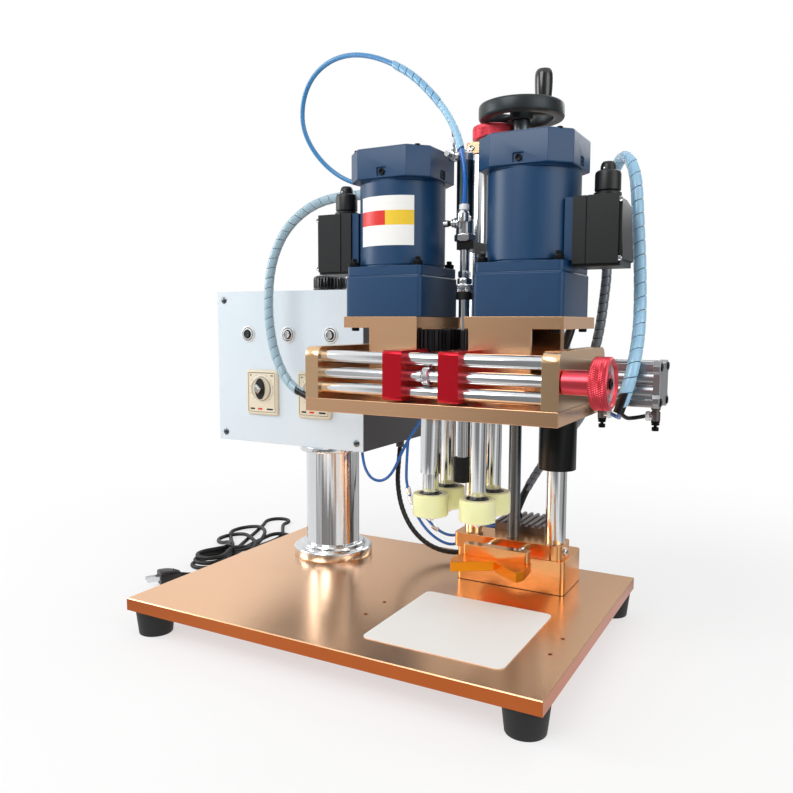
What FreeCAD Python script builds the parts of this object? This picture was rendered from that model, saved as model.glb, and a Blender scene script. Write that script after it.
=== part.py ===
import FreeCAD, Part
import math
import os
import re

import Sketcher
from FreeCAD import Placement, Rotation, Vector

# Bench machine that screws caps on to bottles. Millimetres, X to the right, Y to the back, Z up.
# The origin is the capping axis on the top face of the base plate.

doc = FreeCAD.newDocument("ScrewCapper")

# Driving sizes. Names that end in X, Y or Z are places, the others are lengths.
sizes = {
    # base
    "baseLong": 522, "baseDeep": 380, "baseThick": 15, "baseLeftX": -388.5, "baseFrontY": -119.6,
    "baseBevel": 1, "fixtureWide": 218, "fixtureDeep": 43.2, "fixtureRadius": 2.5,
    "footHigh": 30, "footTopRadius": 23.5, "footTreadRadius": 20, "footInset": 23.5,
    "matSide": 160, "matThick": 1, "matCorner": 8,
    # column and control box
    "columnX": -276, "columnY": 163, "columnRadius": 38, "columnWall": 4, "columnHigh": 159,
    "capitalRadius": 47, "capitalThick": 7, "flangeRadius": 56.5, "flangeThick": 13, "stepRadius": 46, "stepThick": 6,
    "boxLeftX": -450, "boxFrontY": 122, "boxWide": 251, "boxDeep": 178, "boxHigh": 218, "boxWall": 2,
    "panelThick": 2, "buttonRise": 157, "buttonFirst": 57, "buttonPitch": 71.5, "buttonRadius": 6.5,
    "buttonLong": 14, "buttonProud": 5, "slideGap": 0.05,
    "timerWide": 52, "timerHigh": 64, "timerFace": 5, "timerBodyWide": 42, "timerBodyHigh": 50,
    "timerBodyDeep": 60, "timerFirst": 83.5, "timerPitch": 90.5, "timerRise": 73.5,
    "dialRadius": 17, "dialDeep": 9, "dialRise": 5.5, "dialGripRadius": 9, "dialGripDeep": 5,
    "dialPinRadius": 3, "dialPinLong": 4,
    "regulatorX": -284, "regulatorY": 170, "regulatorSide": 44, "regulatorHigh": 56,
    "bonnetRadius": 16, "bonnetHigh": 0.5, "regulatorKnobRadius": 24, "regulatorKnobHigh": 21.5,
    "regulatorPinRadius": 4, "regulatorPinLong": 12,
    "manifoldLong": 130, "manifoldDeep": 34, "manifoldHigh": 40, "pipeRadius": 5,
    "glandRadius": 9, "glandLong": 14, "glandX": -385, "glandRise": 42,
    # mast
    "rodSpread": 55, "mastY": 165, "rodRadius": 12.5, "rodSocket": 30, "screwRadius": 8,
    "lowerLeftX": -70, "lowerRightX": 73, "lowerFrontY": 144, "lowerDeep": 74, "lowerHigh": 42.4,
    "blockCorner": 8, "upperShift": 5, "upperFrontStep": 1, "upperDeep": 42, "upperHigh": 18.6,
    "slitWide": 2.5, "rodGap": 482, "topThick": 14, "topHalf": 69, "topFront": 14, "topBack": 22,
    "collarRadius": 11, "collarHigh": 22, "spindleEndRadius": 6,
    "lockX": -38, "lockY": 171, "lockRadius": 26.5, "lockHigh": 17, "lockHubRadius": 12, "lockHubHigh": 3,
    "lockPinRadius": 4, "lockPinLong": 10,
    "wheelRadius": 52, "rimWide": 14, "rimHigh": 18, "hubRadius": 14, "hubHigh": 22, "spokeWide": 12,
    "spokeThick": 6, "handleReachX": 14, "handleReachY": 41, "handleRadius": 11.5, "handleHigh": 52,
    "handlePinRadius": 4,
    # clamp at the foot of the mast
    "barLeftX": -46, "barWide": 85, "barFrontY": 108, "barDeep": 14, "barHigh": 14, "barRise": 45,
    "clampRodSpread": 22, "clampRodRadius": 5, "clampRodLong": 104, "veeThick": 12, "veeLeftX": -46,
    "veeRightX": 37, "veeTipY": 72, "veeApexY": 101, "veeApexX": -2, "veeBackY": 118, "veeHeel": 6,
    "ramHalf": 34, "ramDeep": 64, "ramHigh": 30, "portRadius": 5, "portHigh": 5,
    # carriage
    "carriageZ": 242, "carriageThick": 14, "carriageHalf": 135, "carriageFrontY": -100,
    "carriageStepY": 66, "tailHalf": 85, "carriageBackY": 192, "carriageCorner": 10,
    "windowHalfX": 60, "windowHalfY": 34, "sleeveRadius": 23, "sleeveLong": 88, "nutRadius": 15,
    "nutHigh": 20, "endThick": 16, "endDeep": 160, "endHigh": 53, "endCorner": 10,
    "railRadius": 6.5, "railY": -88, "upperRailRise": 42.5, "lowerRailRise": 10, "railSeat": 8,
    "rearRailY": 54, "rearRailRise": 20, "leadRadius": 6, "leadRise": 26,
    "knobStubRadius": 11.3, "knobStubLong": 27, "knobRadius": 23.5, "knobThick": 16, "knobDish": 3,
    "knobRim": 4, "restGap": 0.4,
    # air cylinder that opens the right unit
    "airSide": 46, "airLong": 66, "airY": 30, "airRise": 19, "airCapLong": 8, "airBoreRadius": 16,
    "airWall": 5, "airRodRadius": 4.5, "airPistonLong": 8, "airPistonX": 155, "fittingRadius": 4.5,
    "fittingDrop": 14, "elbowLong": 10, "ventRadius": 3, "ventLong": 10,
    # presser
    "bracketLeft": 7, "bracketRight": 12, "bracketFront": 6, "bracketThick": 8.5, "bracketZ": 410,
    "postHalf": 16, "postFrontY": 104, "postDeep": 16, "pressNutRadius": 10.8, "pressNutHigh": 8,
    "pressBodyRadius": 10, "pressBodyHigh": 84.5, "pressBoreRadius": 8, "pressWall": 4,
    "pressRodRadius": 5, "pressRodFootZ": 388, "pressPistonZ": 462, "pressPistonHigh": 8,
    "lowerPortX": 4.8, "lowerPortY": -14, "lowerPortZ": 437, "lowerPortHigh": 18,
    "couplingRadius": 9, "couplingHigh": 30, "plungerRadius": 6, "plungerFootZ": 189,
    "padRadius": 9.5, "padHigh": 27, "padGrip": 12,
    # motor units
    "motorX": 74.5, "motorPlateZ": 328, "motorPlateThick": 12, "leftPlateInner": 33,
    "rightPlateInner": 21, "plateOuter": 122, "unitFront": 46, "plateBackY": 64, "wallOuter": 90,
    "wallThick": 4, "rearWallThick": 12,
    "bearingInner": 13.5, "bearingOuter": 95, "bearingRise": 6, "bearingThick": 18,
    "spindleX": 27.2, "spindleY": 21.7, "spindleRadius": 8.7, "sleeveStep": 2.4, "sleeveFootZ": 173,
    "wheelZ": 127, "puRadius": 19.3, "puHigh": 24, "puBevel": 1.2, "spindleStub": 3,
    "gearModule": 1.5, "gearTeeth": 24, "gearThick": 22, "gearGap": 1.5,
    "pinionShaftRadius": 5, "pinionShaftUp": 12,
    "gearboxSide": 92, "gearboxHigh": 43.6, "gearboxCorner": 5, "flangeSide": 90.6, "flangeHigh": 9.4,
    "studRadius": 4, "studHigh": 8, "studReach": 38.5, "motorRadius": 46.5, "motorHigh": 90,
    "coverSide": 96, "coverCut": 19, "coverHigh": 32, "recessWide": 11, "recessHigh": 9,
    "recessDeep": 2, "recessRise": 2, "bossOut": 48.5, "bossDeep": 45, "bossHigh": 59, "bossY": -5,
    "bossRise": 0, "terminalDeep": 50, "terminalWide": 47, "terminalHigh": 65.5, "terminalDrop": 6,
    "terminalLid": 6, "terminalSkirt": 5, "capRadius": 12.2, "capNeckRadius": 13, "capNeckHigh": 4.5,
    "capHigh": 20.5, "capDome": 8.3, "capDomeRadius": 5.4, "capShiftRight": 26, "capShiftLeft": 21,
    "slideBlockX": 30, "slideBlockWide": 21, "slideBlockFront": 104, "slideBlockFoot": 2,
    "slideBlockHigh": 49, "slideBlockCorner": 4,
    # hoses and mains lead
    "trunkRadius": 6.2, "pressHoseRadius": 3.6, "portTubeRadius": 1.6, "dropRadius": 4.5, "clampHoseRadius": 3.5,
    "branchRadius": 2, "mainsRadius": 3.2, "hankHigh": 16, "plugLong": 30, "plugWide": 26,
    "plugHigh": 20, "plugBevel": 5, "pinLong": 18, "pinWide": 6, "pinThick": 1.6, "pinSpread": 12.7,
    "plugX": -480, "plugY": 40,
}

sheet = doc.addObject("Spreadsheet::Sheet", "Sizes")
for row, (name, value) in enumerate(sizes.items(), start=1):
    sheet.set(f"A{row}", name)
    sheet.set(f"B{row}", str(value))
    sheet.setAlias(f"B{row}", name)
doc.recompute()

words = re.compile(r"[A-Za-z]+")
turns = {"X": Rotation(Vector(0, 1, 0), 90), "Y": Rotation(Vector(1, 0, 0), -90), "Z": Rotation()}
nodes = {}


def size(name):
    return float(sheet.get(name))


def bind(item, prop, formula):
    """Ties a property to a formula of the sheet's names."""
    item.setExpression(prop, words.sub(lambda m: f"Sizes.{m.group()}" if m.group() in sizes else m.group(),
                                       str(formula)))


def move(item, x, y, z):
    bind(item, "Placement.Base.x", x)
    bind(item, "Placement.Base.y", y)
    bind(item, "Placement.Base.z", z)
    return item


def block(label, x, y, z, long, deep, high):
    item = doc.addObject("Part::Box", label)
    bind(item, "Length", long)
    bind(item, "Width", deep)
    bind(item, "Height", high)
    return move(item, x, y, z)


def rod(label, x, y, z, radius, long, along="Z"):
    item = doc.addObject("Part::Cylinder", label)
    bind(item, "Radius", radius)
    bind(item, "Height", long)
    item.Placement = Placement(Vector(), turns[along])
    return move(item, x, y, z)


def cone(label, x, y, z, foot, top, high):
    item = doc.addObject("Part::Cone", label)
    bind(item, "Radius1", foot)
    bind(item, "Radius2", top)
    bind(item, "Height", high)
    return move(item, x, y, z)


def fused(label, parts):
    if len(parts) == 1:
        return parts[0]
    item = doc.addObject("Part::MultiFuse", label)
    item.Shapes = parts
    item.Refine = True
    return item


def less(label, base, tools):
    item = doc.addObject("Part::Cut", label)
    item.Base = base
    item.Tool = fused(label + "_tools", tools)
    item.Refine = True
    return item


def grouped(label, parts):
    item = doc.addObject("Part::Compound", label)
    item.Links = parts
    return item


def keep(label, item):
    """Records a finished sub-part under its own name."""
    item.Label = label
    nodes[label] = item
    return item


class Body:
    """A body built from sketches, whose corners and radii are tied to the sheet."""

    def __init__(self, label):
        self.item = doc.addObject("PartDesign::Body", label)
        self.name = label

    def sketch(self, plane="XY_Plane", level="0"):
        made = self.item.newObject("Sketcher::SketchObject", self.name + "_sketch")
        origin = next(f for f in self.item.Origin.OriginFeatures if f.Role == plane)
        made.AttachmentSupport = [(origin, "")]
        made.MapMode = "FlatFace"
        bind(made, "AttachmentOffset.Base.z", level)
        return made

    def pin(self, sketch, geometry, point, x, y):
        for kind, formula in (("DistanceX", x), ("DistanceY", y)):
            place = sketch.addConstraint(Sketcher.Constraint(kind, -1, 1, geometry, point, 1.0))
            bind(sketch, f"Constraints[{place}]", formula)

    def outline(self, corners, plane="XY_Plane", level="0"):
        made = self.sketch(plane, level)
        count = len(corners)
        guess = [Vector(9 * math.cos(6.283 * i / count), 9 * math.sin(6.283 * i / count), 0)
                 for i in range(count)]
        sides = [made.addGeometry(Part.LineSegment(guess[i], guess[(i + 1) % count])) for i in range(count)]
        for i, side in enumerate(sides):
            made.addConstraint(Sketcher.Constraint("Coincident", side, 2, sides[(i + 1) % count], 1))
        for side, (x, y) in zip(sides, corners):
            self.pin(made, side, 1, x, y)
        return made

    def circles(self, rounds, plane="XY_Plane", level="0"):
        made = self.sketch(plane, level)
        for i, (x, y, radius) in enumerate(rounds):
            ring = made.addGeometry(Part.Circle(Vector(40 * i, 0, 0), Vector(0, 0, 1), 5))
            place = made.addConstraint(Sketcher.Constraint("Radius", ring, 5))
            bind(made, f"Constraints[{place}]", radius)
            self.pin(made, ring, 3, x, y)
        return made

    def pad(self, sketch, long):
        made = self.item.newObject("PartDesign::Pad", self.name + "_pad")
        made.Profile = sketch
        bind(made, "Length", long)
        return made

    def pocket(self, sketch, deep):
        doc.recompute()
        before = self.item.Shape.Volume
        made = self.item.newObject("PartDesign::Pocket", self.name + "_pocket")
        made.Profile = sketch
        bind(made, "Length", deep)
        doc.recompute()
        if self.item.Shape.Volume >= before:
            raise ValueError(self.name + ": a pocket cuts nothing")
        return made

    def revolve(self, sketch):
        made = self.item.newObject("PartDesign::Revolution", self.name + "_turn")
        made.Profile = sketch
        made.ReferenceAxis = (sketch, ["V_Axis"])
        made.Angle = 360
        return made

    def soften(self, kind, test, radius):
        """Fillet or Chamfer on the edges that pass the test."""
        doc.recompute()
        shape = self.item.Tip.Shape
        names = [f"Edge{i}" for i, edge in enumerate(shape.Edges, start=1) if test(edge, shape.BoundBox)]
        before = self.item.Tip
        made = self.item.newObject("PartDesign::" + kind, self.name + "_" + kind.lower())
        made.Base = (before, names)
        bind(made, "Radius" if kind == "Fillet" else "Size", radius)
        return made


def upright(edge, box):
    ends = [v.Point for v in edge.Vertexes]
    return len(ends) == 2 and (ends[0] - ends[1]).cross(Vector(0, 0, 1)).Length < 0.001


def outerUpright(edge, box):
    point = edge.Vertexes[0].Point
    far = max(abs(point.x - box.Center.x) - box.XLength / 2, abs(point.y - box.Center.y) - box.YLength / 2)
    return upright(edge, box) and far > -0.01


def topRim(edge, box):
    return all(abs(v.Point.z - box.ZMax) < 0.001 for v in edge.Vertexes) and edge.Curve.TypeId == "Part::GeomLine"


def plate(label, x, y, z, long, deep, high, corner=None, holes=(), depth=None, bevel=None):
    """A flat piece with rounded upright corners and round holes from its top face."""
    made = Body(label)
    low, left, front = z, x, y
    right, back = f"({x}) + ({long})", f"({y}) + ({deep})"
    made.pad(made.outline([(left, front), (right, front), (right, back), (left, back)], level=low), high)
    if corner:
        made.soften("Fillet", outerUpright, corner)
    if bevel:
        made.soften("Chamfer", topRim, bevel)
    if holes:
        made.pocket(made.circles(holes, level=f"({z}) + ({high})"), depth or high)
    return made


def turned(label, profile, x="0", y="0", z="0", along="Z"):
    """A turned piece: its profile lists (radius, height) corners."""
    made = Body(label)
    made.revolve(made.outline(profile, plane="XZ_Plane"))
    made.item.Placement = Placement(Vector(), turns[along])
    move(made.item, x, y, z)
    return made.item


# Heights and places that several pieces share
columnTop = "columnHigh"
boxTop = "(columnHigh + boxHigh)"
panelFront = "(boxFrontY - panelThick)"
lowerTop = "lowerHigh"
upperTop = "(lowerHigh + upperHigh)"
topZ = "(lowerHigh + upperHigh + rodGap)"
topTop = f"({topZ} + topThick)"
wheelFoot = f"({topTop} + collarHigh)"
deck = "(carriageZ + carriageThick)"
motorFloor = "(motorPlateZ + motorPlateThick)"
bearingZ = f"({deck} + bearingRise)"
# centre distance of a pinion and its two gears, along X
pinionReach = "sqrt((gearModule * gearTeeth)^2 - spindleY^2)"


def base():
    """Plate on four rubber feet, with the fixture's threaded holes and the work mat."""
    made = plate("base_plate", "baseLeftX", "baseFrontY", "-baseThick", "baseLong", "baseDeep", "baseThick",
                 bevel="baseBevel",
                 holes=[(f"{i} * fixtureWide / 2", f"{j} * fixtureDeep / 2", "fixtureRadius")
                        for i in (-1, 1) for j in (-1, 1)])
    keep("base_plate", made.item)
    feet = []
    for i, x in enumerate(("baseLeftX + footInset", "baseLeftX + baseLong - footInset")):
        for j, y in enumerate(("baseFrontY + footInset", "baseFrontY + baseDeep - footInset")):
            feet.append(cone(f"foot_{i}{j}", x, y, "-baseThick - footHigh", "footTreadRadius", "footTopRadius",
                             "footHigh"))
    keep("feet", grouped("feet", feet))
    mat = plate("work_mat", "-matSide / 2", "-matSide / 2", "0", "matSide", "matSide", "matThick",
                corner="matCorner")
    keep("work_mat", mat.item)


def column():
    """Polished tube on a stepped flange."""
    inner = "columnRadius - columnWall"
    rise = "flangeThick + stepThick"
    keep("column", turned("column", [
        (inner, "0"), ("flangeRadius", "0"), ("flangeRadius", "flangeThick - 2"),
        ("flangeRadius - 2", "flangeThick"), ("stepRadius + 1", "flangeThick"), ("stepRadius", rise + " - 2"),
        ("stepRadius - 2", rise), ("columnRadius", rise), ("columnRadius", f"{columnTop} - capitalThick"),
        ("capitalRadius", f"{columnTop} - capitalThick"), ("capitalRadius", columnTop), (inner, columnTop)],
        "columnX", "columnY"))


def buttonX(i):
    return f"(boxLeftX + buttonFirst + {i} * buttonPitch)"


def timerX(i):
    return f"(boxLeftX + timerFirst + {i} * timerPitch)"


buttonZ = "(columnHigh + buttonRise)"
timerZ = "(columnHigh + timerRise)"
dialZ = "(columnHigh + timerRise + dialRise)"


def controlBox():
    """Sheet metal housing that is open at the front, with the gland of the mains lead at its back."""
    shell = block("box_shell", "boxLeftX", "boxFrontY", columnTop, "boxWide", "boxDeep", "boxHigh")
    gland = rod("box_gland", "glandX", "boxFrontY + boxDeep", "columnHigh + glandRise", "glandRadius",
                "glandLong", "Y")
    room = block("box_room", "boxLeftX + boxWall", "boxFrontY - 1", "columnHigh + boxWall",
                 "boxWide - 2 * boxWall", "boxDeep - boxWall + 1", "boxHigh - 2 * boxWall")
    bonnet = rod("box_bonnet", "regulatorX", "regulatorY", f"{boxTop} - 2 * boxWall", "bonnetRadius",
                 "4 * boxWall")
    lower = rod("box_foot_gland", "boxLeftX + boxWide - 10", "boxFrontY + 121", f"{columnTop} - elbowLong",
                "pipeRadius + 1", "elbowLong + boxWall / 2")
    keep("control_box", less("control_box", fused("box_outer", [shell, gland, lower]), [room, bonnet]))

    face = block("panel_face", "boxLeftX", panelFront, columnTop, "boxWide", "panelThick", "boxHigh")
    holes = []
    for i in range(3):
        holes.append(rod(f"panel_bore_{i}", buttonX(i), f"{panelFront} - 1", buttonZ,
                         "buttonRadius + slideGap", "panelThick + 2", "Y"))
    for i in range(2):
        holes.append(block(f"panel_window_{i}", f"{timerX(i)} - timerBodyWide / 2", f"{panelFront} - 1",
                           f"{timerZ} - timerBodyHigh / 2", "timerBodyWide", "panelThick + 2",
                           "timerBodyHigh"))
    keep("control_panel", less("control_panel", face, holes))

    for i, name in enumerate(("start", "stop", "lamp")):
        cap = rod(f"cap_{i}", buttonX(i), f"{panelFront} - buttonProud", buttonZ, "buttonRadius",
                  "buttonLong", "Y")
        keep(f"push_button_{name}", cap)

    timers = []
    for i, side in enumerate(("left", "right")):
        frame = block(f"timer_frame_{i}", f"{timerX(i)} - timerWide / 2", f"{panelFront} - timerFace",
                      f"{timerZ} - timerHigh / 2", "timerWide", "timerFace", "timerHigh")
        body = block(f"timer_body_{i}", f"{timerX(i)} - timerBodyWide / 2", panelFront,
                     f"{timerZ} - timerBodyHigh / 2", "timerBodyWide", "timerBodyDeep", "timerBodyHigh")
        bore = rod(f"timer_bore_{i}", timerX(i), f"{panelFront} - timerFace - 1", dialZ,
                   "dialPinRadius + slideGap", "dialPinLong + 1", "Y")
        timers.append(less(f"timer_{i}", fused(f"timer_whole_{i}", [frame, body]), [bore]))
        front = f"{panelFront} - timerFace"
        dial = fused(f"dial_{i}", [
            rod(f"dial_disc_{i}", timerX(i), f"{front} - dialDeep - restGap", dialZ, "dialRadius", "dialDeep", "Y"),
            rod(f"dial_grip_{i}", timerX(i), f"{front} - dialDeep - dialGripDeep - restGap", dialZ,
                "dialGripRadius", "dialGripDeep", "Y"),
            rod(f"dial_pin_{i}", timerX(i), f"{front} - restGap", dialZ, "dialPinRadius", "dialPinLong", "Y")])
        keep(f"timer_dial_{side}", dial)
    keep("timer_relays", grouped("timer_relays", timers))


def airUnit():
    """Air regulator through the box's top, and the valve manifold that it feeds inside the box."""
    roof = f"({boxTop} - boxWall)"
    half = "regulatorSide / 2"
    body = block("regulator_body", f"regulatorX - {half}", f"regulatorY - {half}", f"{roof} - regulatorHigh",
                 "regulatorSide", "regulatorSide", "regulatorHigh")
    bonnet = rod("regulator_bonnet", "regulatorX", "regulatorY", roof, "bonnetRadius - slideGap",
                 "boxWall + bonnetHigh")
    floor = "(columnHigh + boxWall)"
    bank = block("manifold", "regulatorX - manifoldLong / 2", "regulatorY - manifoldDeep / 2 + regulatorSide",
                 floor, "manifoldLong", "manifoldDeep", "manifoldHigh")
    riser = rod("manifold_riser", "regulatorX", "regulatorY + regulatorSide", f"{floor} + manifoldHigh",
                "pipeRadius", f"{roof} - regulatorHigh / 2 - {floor} - manifoldHigh")
    cross = rod("manifold_cross", "regulatorX", "regulatorY", f"{roof} - regulatorHigh / 2", "pipeRadius",
                "regulatorSide", "Y")
    corner = block("manifold_corner", "regulatorX - elbowLong * 0.7", "regulatorY + regulatorSide - elbowLong * 0.7",
                   f"{roof} - regulatorHigh / 2 - elbowLong * 0.7", "1.4 * elbowLong", "1.4 * elbowLong",
                   "1.4 * elbowLong")
    bore = rod("regulator_bore", "regulatorX", "regulatorY", f"{boxTop} + bonnetHigh - regulatorPinLong",
               "regulatorPinRadius + slideGap", "regulatorPinLong + 1")
    keep("air_unit", less("air_unit", fused("air_whole", [body, bonnet, bank, riser, cross, corner]), [bore]))
    seat = f"({boxTop} + bonnetHigh + restGap)"
    knob = turned("regulator_knob", [
        ("0", "-regulatorPinLong + 1"), ("regulatorPinRadius", "-regulatorPinLong + 1"),
        ("regulatorPinRadius", "0"), ("regulatorKnobRadius - 1", "0"), ("regulatorKnobRadius", "2"),
        ("regulatorKnobRadius - 1", "regulatorKnobHigh - 2"), ("regulatorKnobRadius - 3", "regulatorKnobHigh"),
        ("0", "regulatorKnobHigh")], "regulatorX", "regulatorY", seat)
    keep("regulator_knob", knob)


def mast():
    """Two blocks that grip the guide rods, the rods, and the plate across their tops."""
    lower = plate("lower_block", "lowerLeftX", "lowerFrontY", "0", "lowerRightX - lowerLeftX", "lowerDeep",
                  "lowerHigh", corner="blockCorner",
                  holes=[("-rodSpread", "mastY", "rodRadius"), ("rodSpread", "mastY", "rodRadius"),
                         ("0", "mastY", "screwRadius + slideGap")], depth="rodSocket")
    keep("lower_block", lower.item)
    front = "(lowerFrontY + upperFrontStep)"
    upper = plate("upper_solid", "lowerLeftX - upperShift", front, lowerTop, "lowerRightX - lowerLeftX",
                  "upperDeep", "upperHigh", corner="blockCorner",
                  holes=[("-rodSpread", "mastY", "rodRadius"), ("rodSpread", "mastY", "rodRadius"),
                         ("0", "mastY", "screwRadius + slideGap")])
    slit = block("upper_slit", "rodSpread - slitWide / 2", f"{front} - 1", f"{lowerTop} - 1", "slitWide",
                 f"mastY - {front} + 1", "upperHigh + 2")
    bores = [rod(f"upper_bore_{i}", f"{side} * clampRodSpread", f"{front} - 1", "barRise + barHigh / 2",
                 "clampRodRadius + slideGap", "upperDeep + 2", "Y") for i, side in enumerate((-1, 1))]
    keep("upper_block", less("upper_block", upper.item, [slit] + bores))
    rods = [rod(f"guide_rod_{i}", f"{side} * rodSpread", "mastY", "lowerHigh - rodSocket", "rodRadius",
                f"{topTop} - lowerHigh + rodSocket") for i, side in enumerate((-1, 1))]
    keep("guide_rods", grouped("guide_rods", rods))
    top = plate("top_plate", "-topHalf", "mastY - topFront", topZ, "2 * topHalf", "topFront + topBack",
                "topThick", corner="blockCorner",
                holes=[("-rodSpread", "mastY", "rodRadius"), ("rodSpread", "mastY", "rodRadius"),
                       ("0", "mastY", "screwRadius + slideGap"), ("lockX", "lockY", "lockPinRadius + slideGap")])
    keep("top_plate", top.item)
    lock = turned("lock_knob", [
        ("0", "-lockPinLong"), ("lockPinRadius", "-lockPinLong"), ("lockPinRadius", "0"),
        ("lockHubRadius", "0"), ("lockHubRadius", "lockHubHigh"), ("lockRadius - 1", "lockHubHigh"),
        ("lockRadius", "lockHubHigh + 1"), ("lockRadius", "lockHubHigh + lockHigh - 1"),
        ("lockRadius - 1", "lockHubHigh + lockHigh"), ("0", "lockHubHigh + lockHigh")],
        "lockX", "lockY", f"{topTop} + slideGap")
    keep("lock_knob", lock)


def handDrive():
    """Lead screw with its thrust collar, handwheel with three spokes, and the turning handle."""
    foot = "(lowerHigh - rodSocket + 2)"
    screw = turned("lead_screw", [
        ("0", foot), ("screwRadius", foot), ("screwRadius", f"{topTop} + slideGap"),
        ("collarRadius", f"{topTop} + slideGap"), ("collarRadius", wheelFoot), ("spindleEndRadius", wheelFoot),
        ("spindleEndRadius", f"{wheelFoot} + hubHigh - 2"), ("0", f"{wheelFoot} + hubHigh - 2")], "0", "mastY")
    keep("lead_screw", screw)
    rimFoot = wheelFoot
    rim = turned("wheel_rim", [
        ("wheelRadius - rimWide", f"{rimFoot} + 3"), ("wheelRadius - rimWide + 3", rimFoot),
        ("wheelRadius - 3", rimFoot), ("wheelRadius", f"{rimFoot} + 4"),
        ("wheelRadius", f"{rimFoot} + rimHigh - 4"), ("wheelRadius - 3", f"{rimFoot} + rimHigh"),
        ("wheelRadius - rimWide + 3", f"{rimFoot} + rimHigh"),
        ("wheelRadius - rimWide", f"{rimFoot} + rimHigh - 3")], "0", "mastY")
    hub = rod("wheel_hub", "0", "mastY", wheelFoot, "hubRadius", "hubHigh")
    spokes = []
    for i in range(3):
        spoke = block(f"wheel_spoke_{i}", "0", "-spokeWide / 2", "0", "wheelRadius - rimWide / 2", "spokeWide",
                      "spokeThick")
        arm = doc.addObject("Part::Compound", f"wheel_arm_{i}")
        arm.Links = [spoke]
        arm.Placement = Placement(Vector(), Rotation(Vector(0, 0, 1), 20 + 120 * i))
        move(arm, "0", "mastY", f"{wheelFoot} + rimHigh / 2 - spokeThick / 2")
        spokes.append(arm)
    bore = rod("wheel_bore", "0", "mastY", f"{wheelFoot} - 1", "spindleEndRadius", "hubHigh + 2")
    seat = rod("wheel_seat", "handleReachX", "mastY + handleReachY", f"{wheelFoot} + 4",
               "handlePinRadius + slideGap", "rimHigh")
    keep("handwheel", less("handwheel", fused("wheel_whole", [rim, hub] + spokes), [bore, seat]))
    rest = f"({wheelFoot} + rimHigh + restGap)"
    handle = turned("wheel_handle", [
        ("0", "-rimHigh / 2"), ("handlePinRadius", "-rimHigh / 2"), ("handlePinRadius", "0"),
        ("handleRadius - 2.5", "0"), ("handleRadius - 1.5", "3"), ("handleRadius", "handleHigh / 2"),
        ("handleRadius - 0.5", "handleHigh - 4"), ("handleRadius - 3", "handleHigh"), ("0", "handleHigh")],
        "handleReachX", "mastY + handleReachY", rest)
    keep("wheel_handle", handle)


def clampHead():
    """Twin-rod cylinder behind the upper block, its bar in front, and the vee plate under the bar."""
    back = "(lowerFrontY + upperFrontStep + upperDeep)"
    bar = block("bar_solid", "barLeftX", "barFrontY", "barRise", "barWide", "barDeep", "barHigh")
    rods = [rod(f"clamp_rod_{i}", f"{side} * clampRodSpread", "barFrontY + barDeep", "barRise + barHigh / 2",
                "clampRodRadius", "clampRodLong", "Y") for i, side in enumerate((-1, 1))]
    keep("clamp_bar", fused("clamp_bar", [bar] + rods))
    vee = Body("vee_plate")
    vee.pad(vee.outline([
        ("veeLeftX", "veeTipY"), ("veeApexX", "veeApexY"), ("veeRightX", "veeTipY"),
        ("veeRightX + veeHeel", "veeTipY + 12"), ("veeRightX + veeHeel / 2", "veeBackY"),
        ("veeLeftX - veeHeel / 2", "veeBackY"), ("veeLeftX - veeHeel", "veeTipY + 12")],
        level="barRise - veeThick"), "veeThick")
    keep("vee_plate", vee.item)
    body = block("ram_body", "-ramHalf", back, lowerTop, "2 * ramHalf", "ramDeep", "ramHigh")
    port = rod("ram_port", "-clampRodSpread + 5", f"{back} + ramDeep / 2 + 6", f"{lowerTop} + ramHigh",
               "portRadius + 2", "portHigh")
    side = rod("ram_side_port", "-ramHalf - portHigh", f"{back} + ramDeep / 2 + 12", f"{lowerTop} + ramHigh / 2",
               "portRadius + 1", "portHigh", "X")
    bores = [rod(f"ram_bore_{i}", f"{side_} * clampRodSpread", f"{back} - 1", "barRise + barHigh / 2",
                 "clampRodRadius + slideGap", "ramDeep - 3", "Y") for i, side_ in enumerate((-1, 1))]
    keep("clamp_cylinder", less("clamp_cylinder", fused("ram_whole", [body, port, side]), bores))


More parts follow.
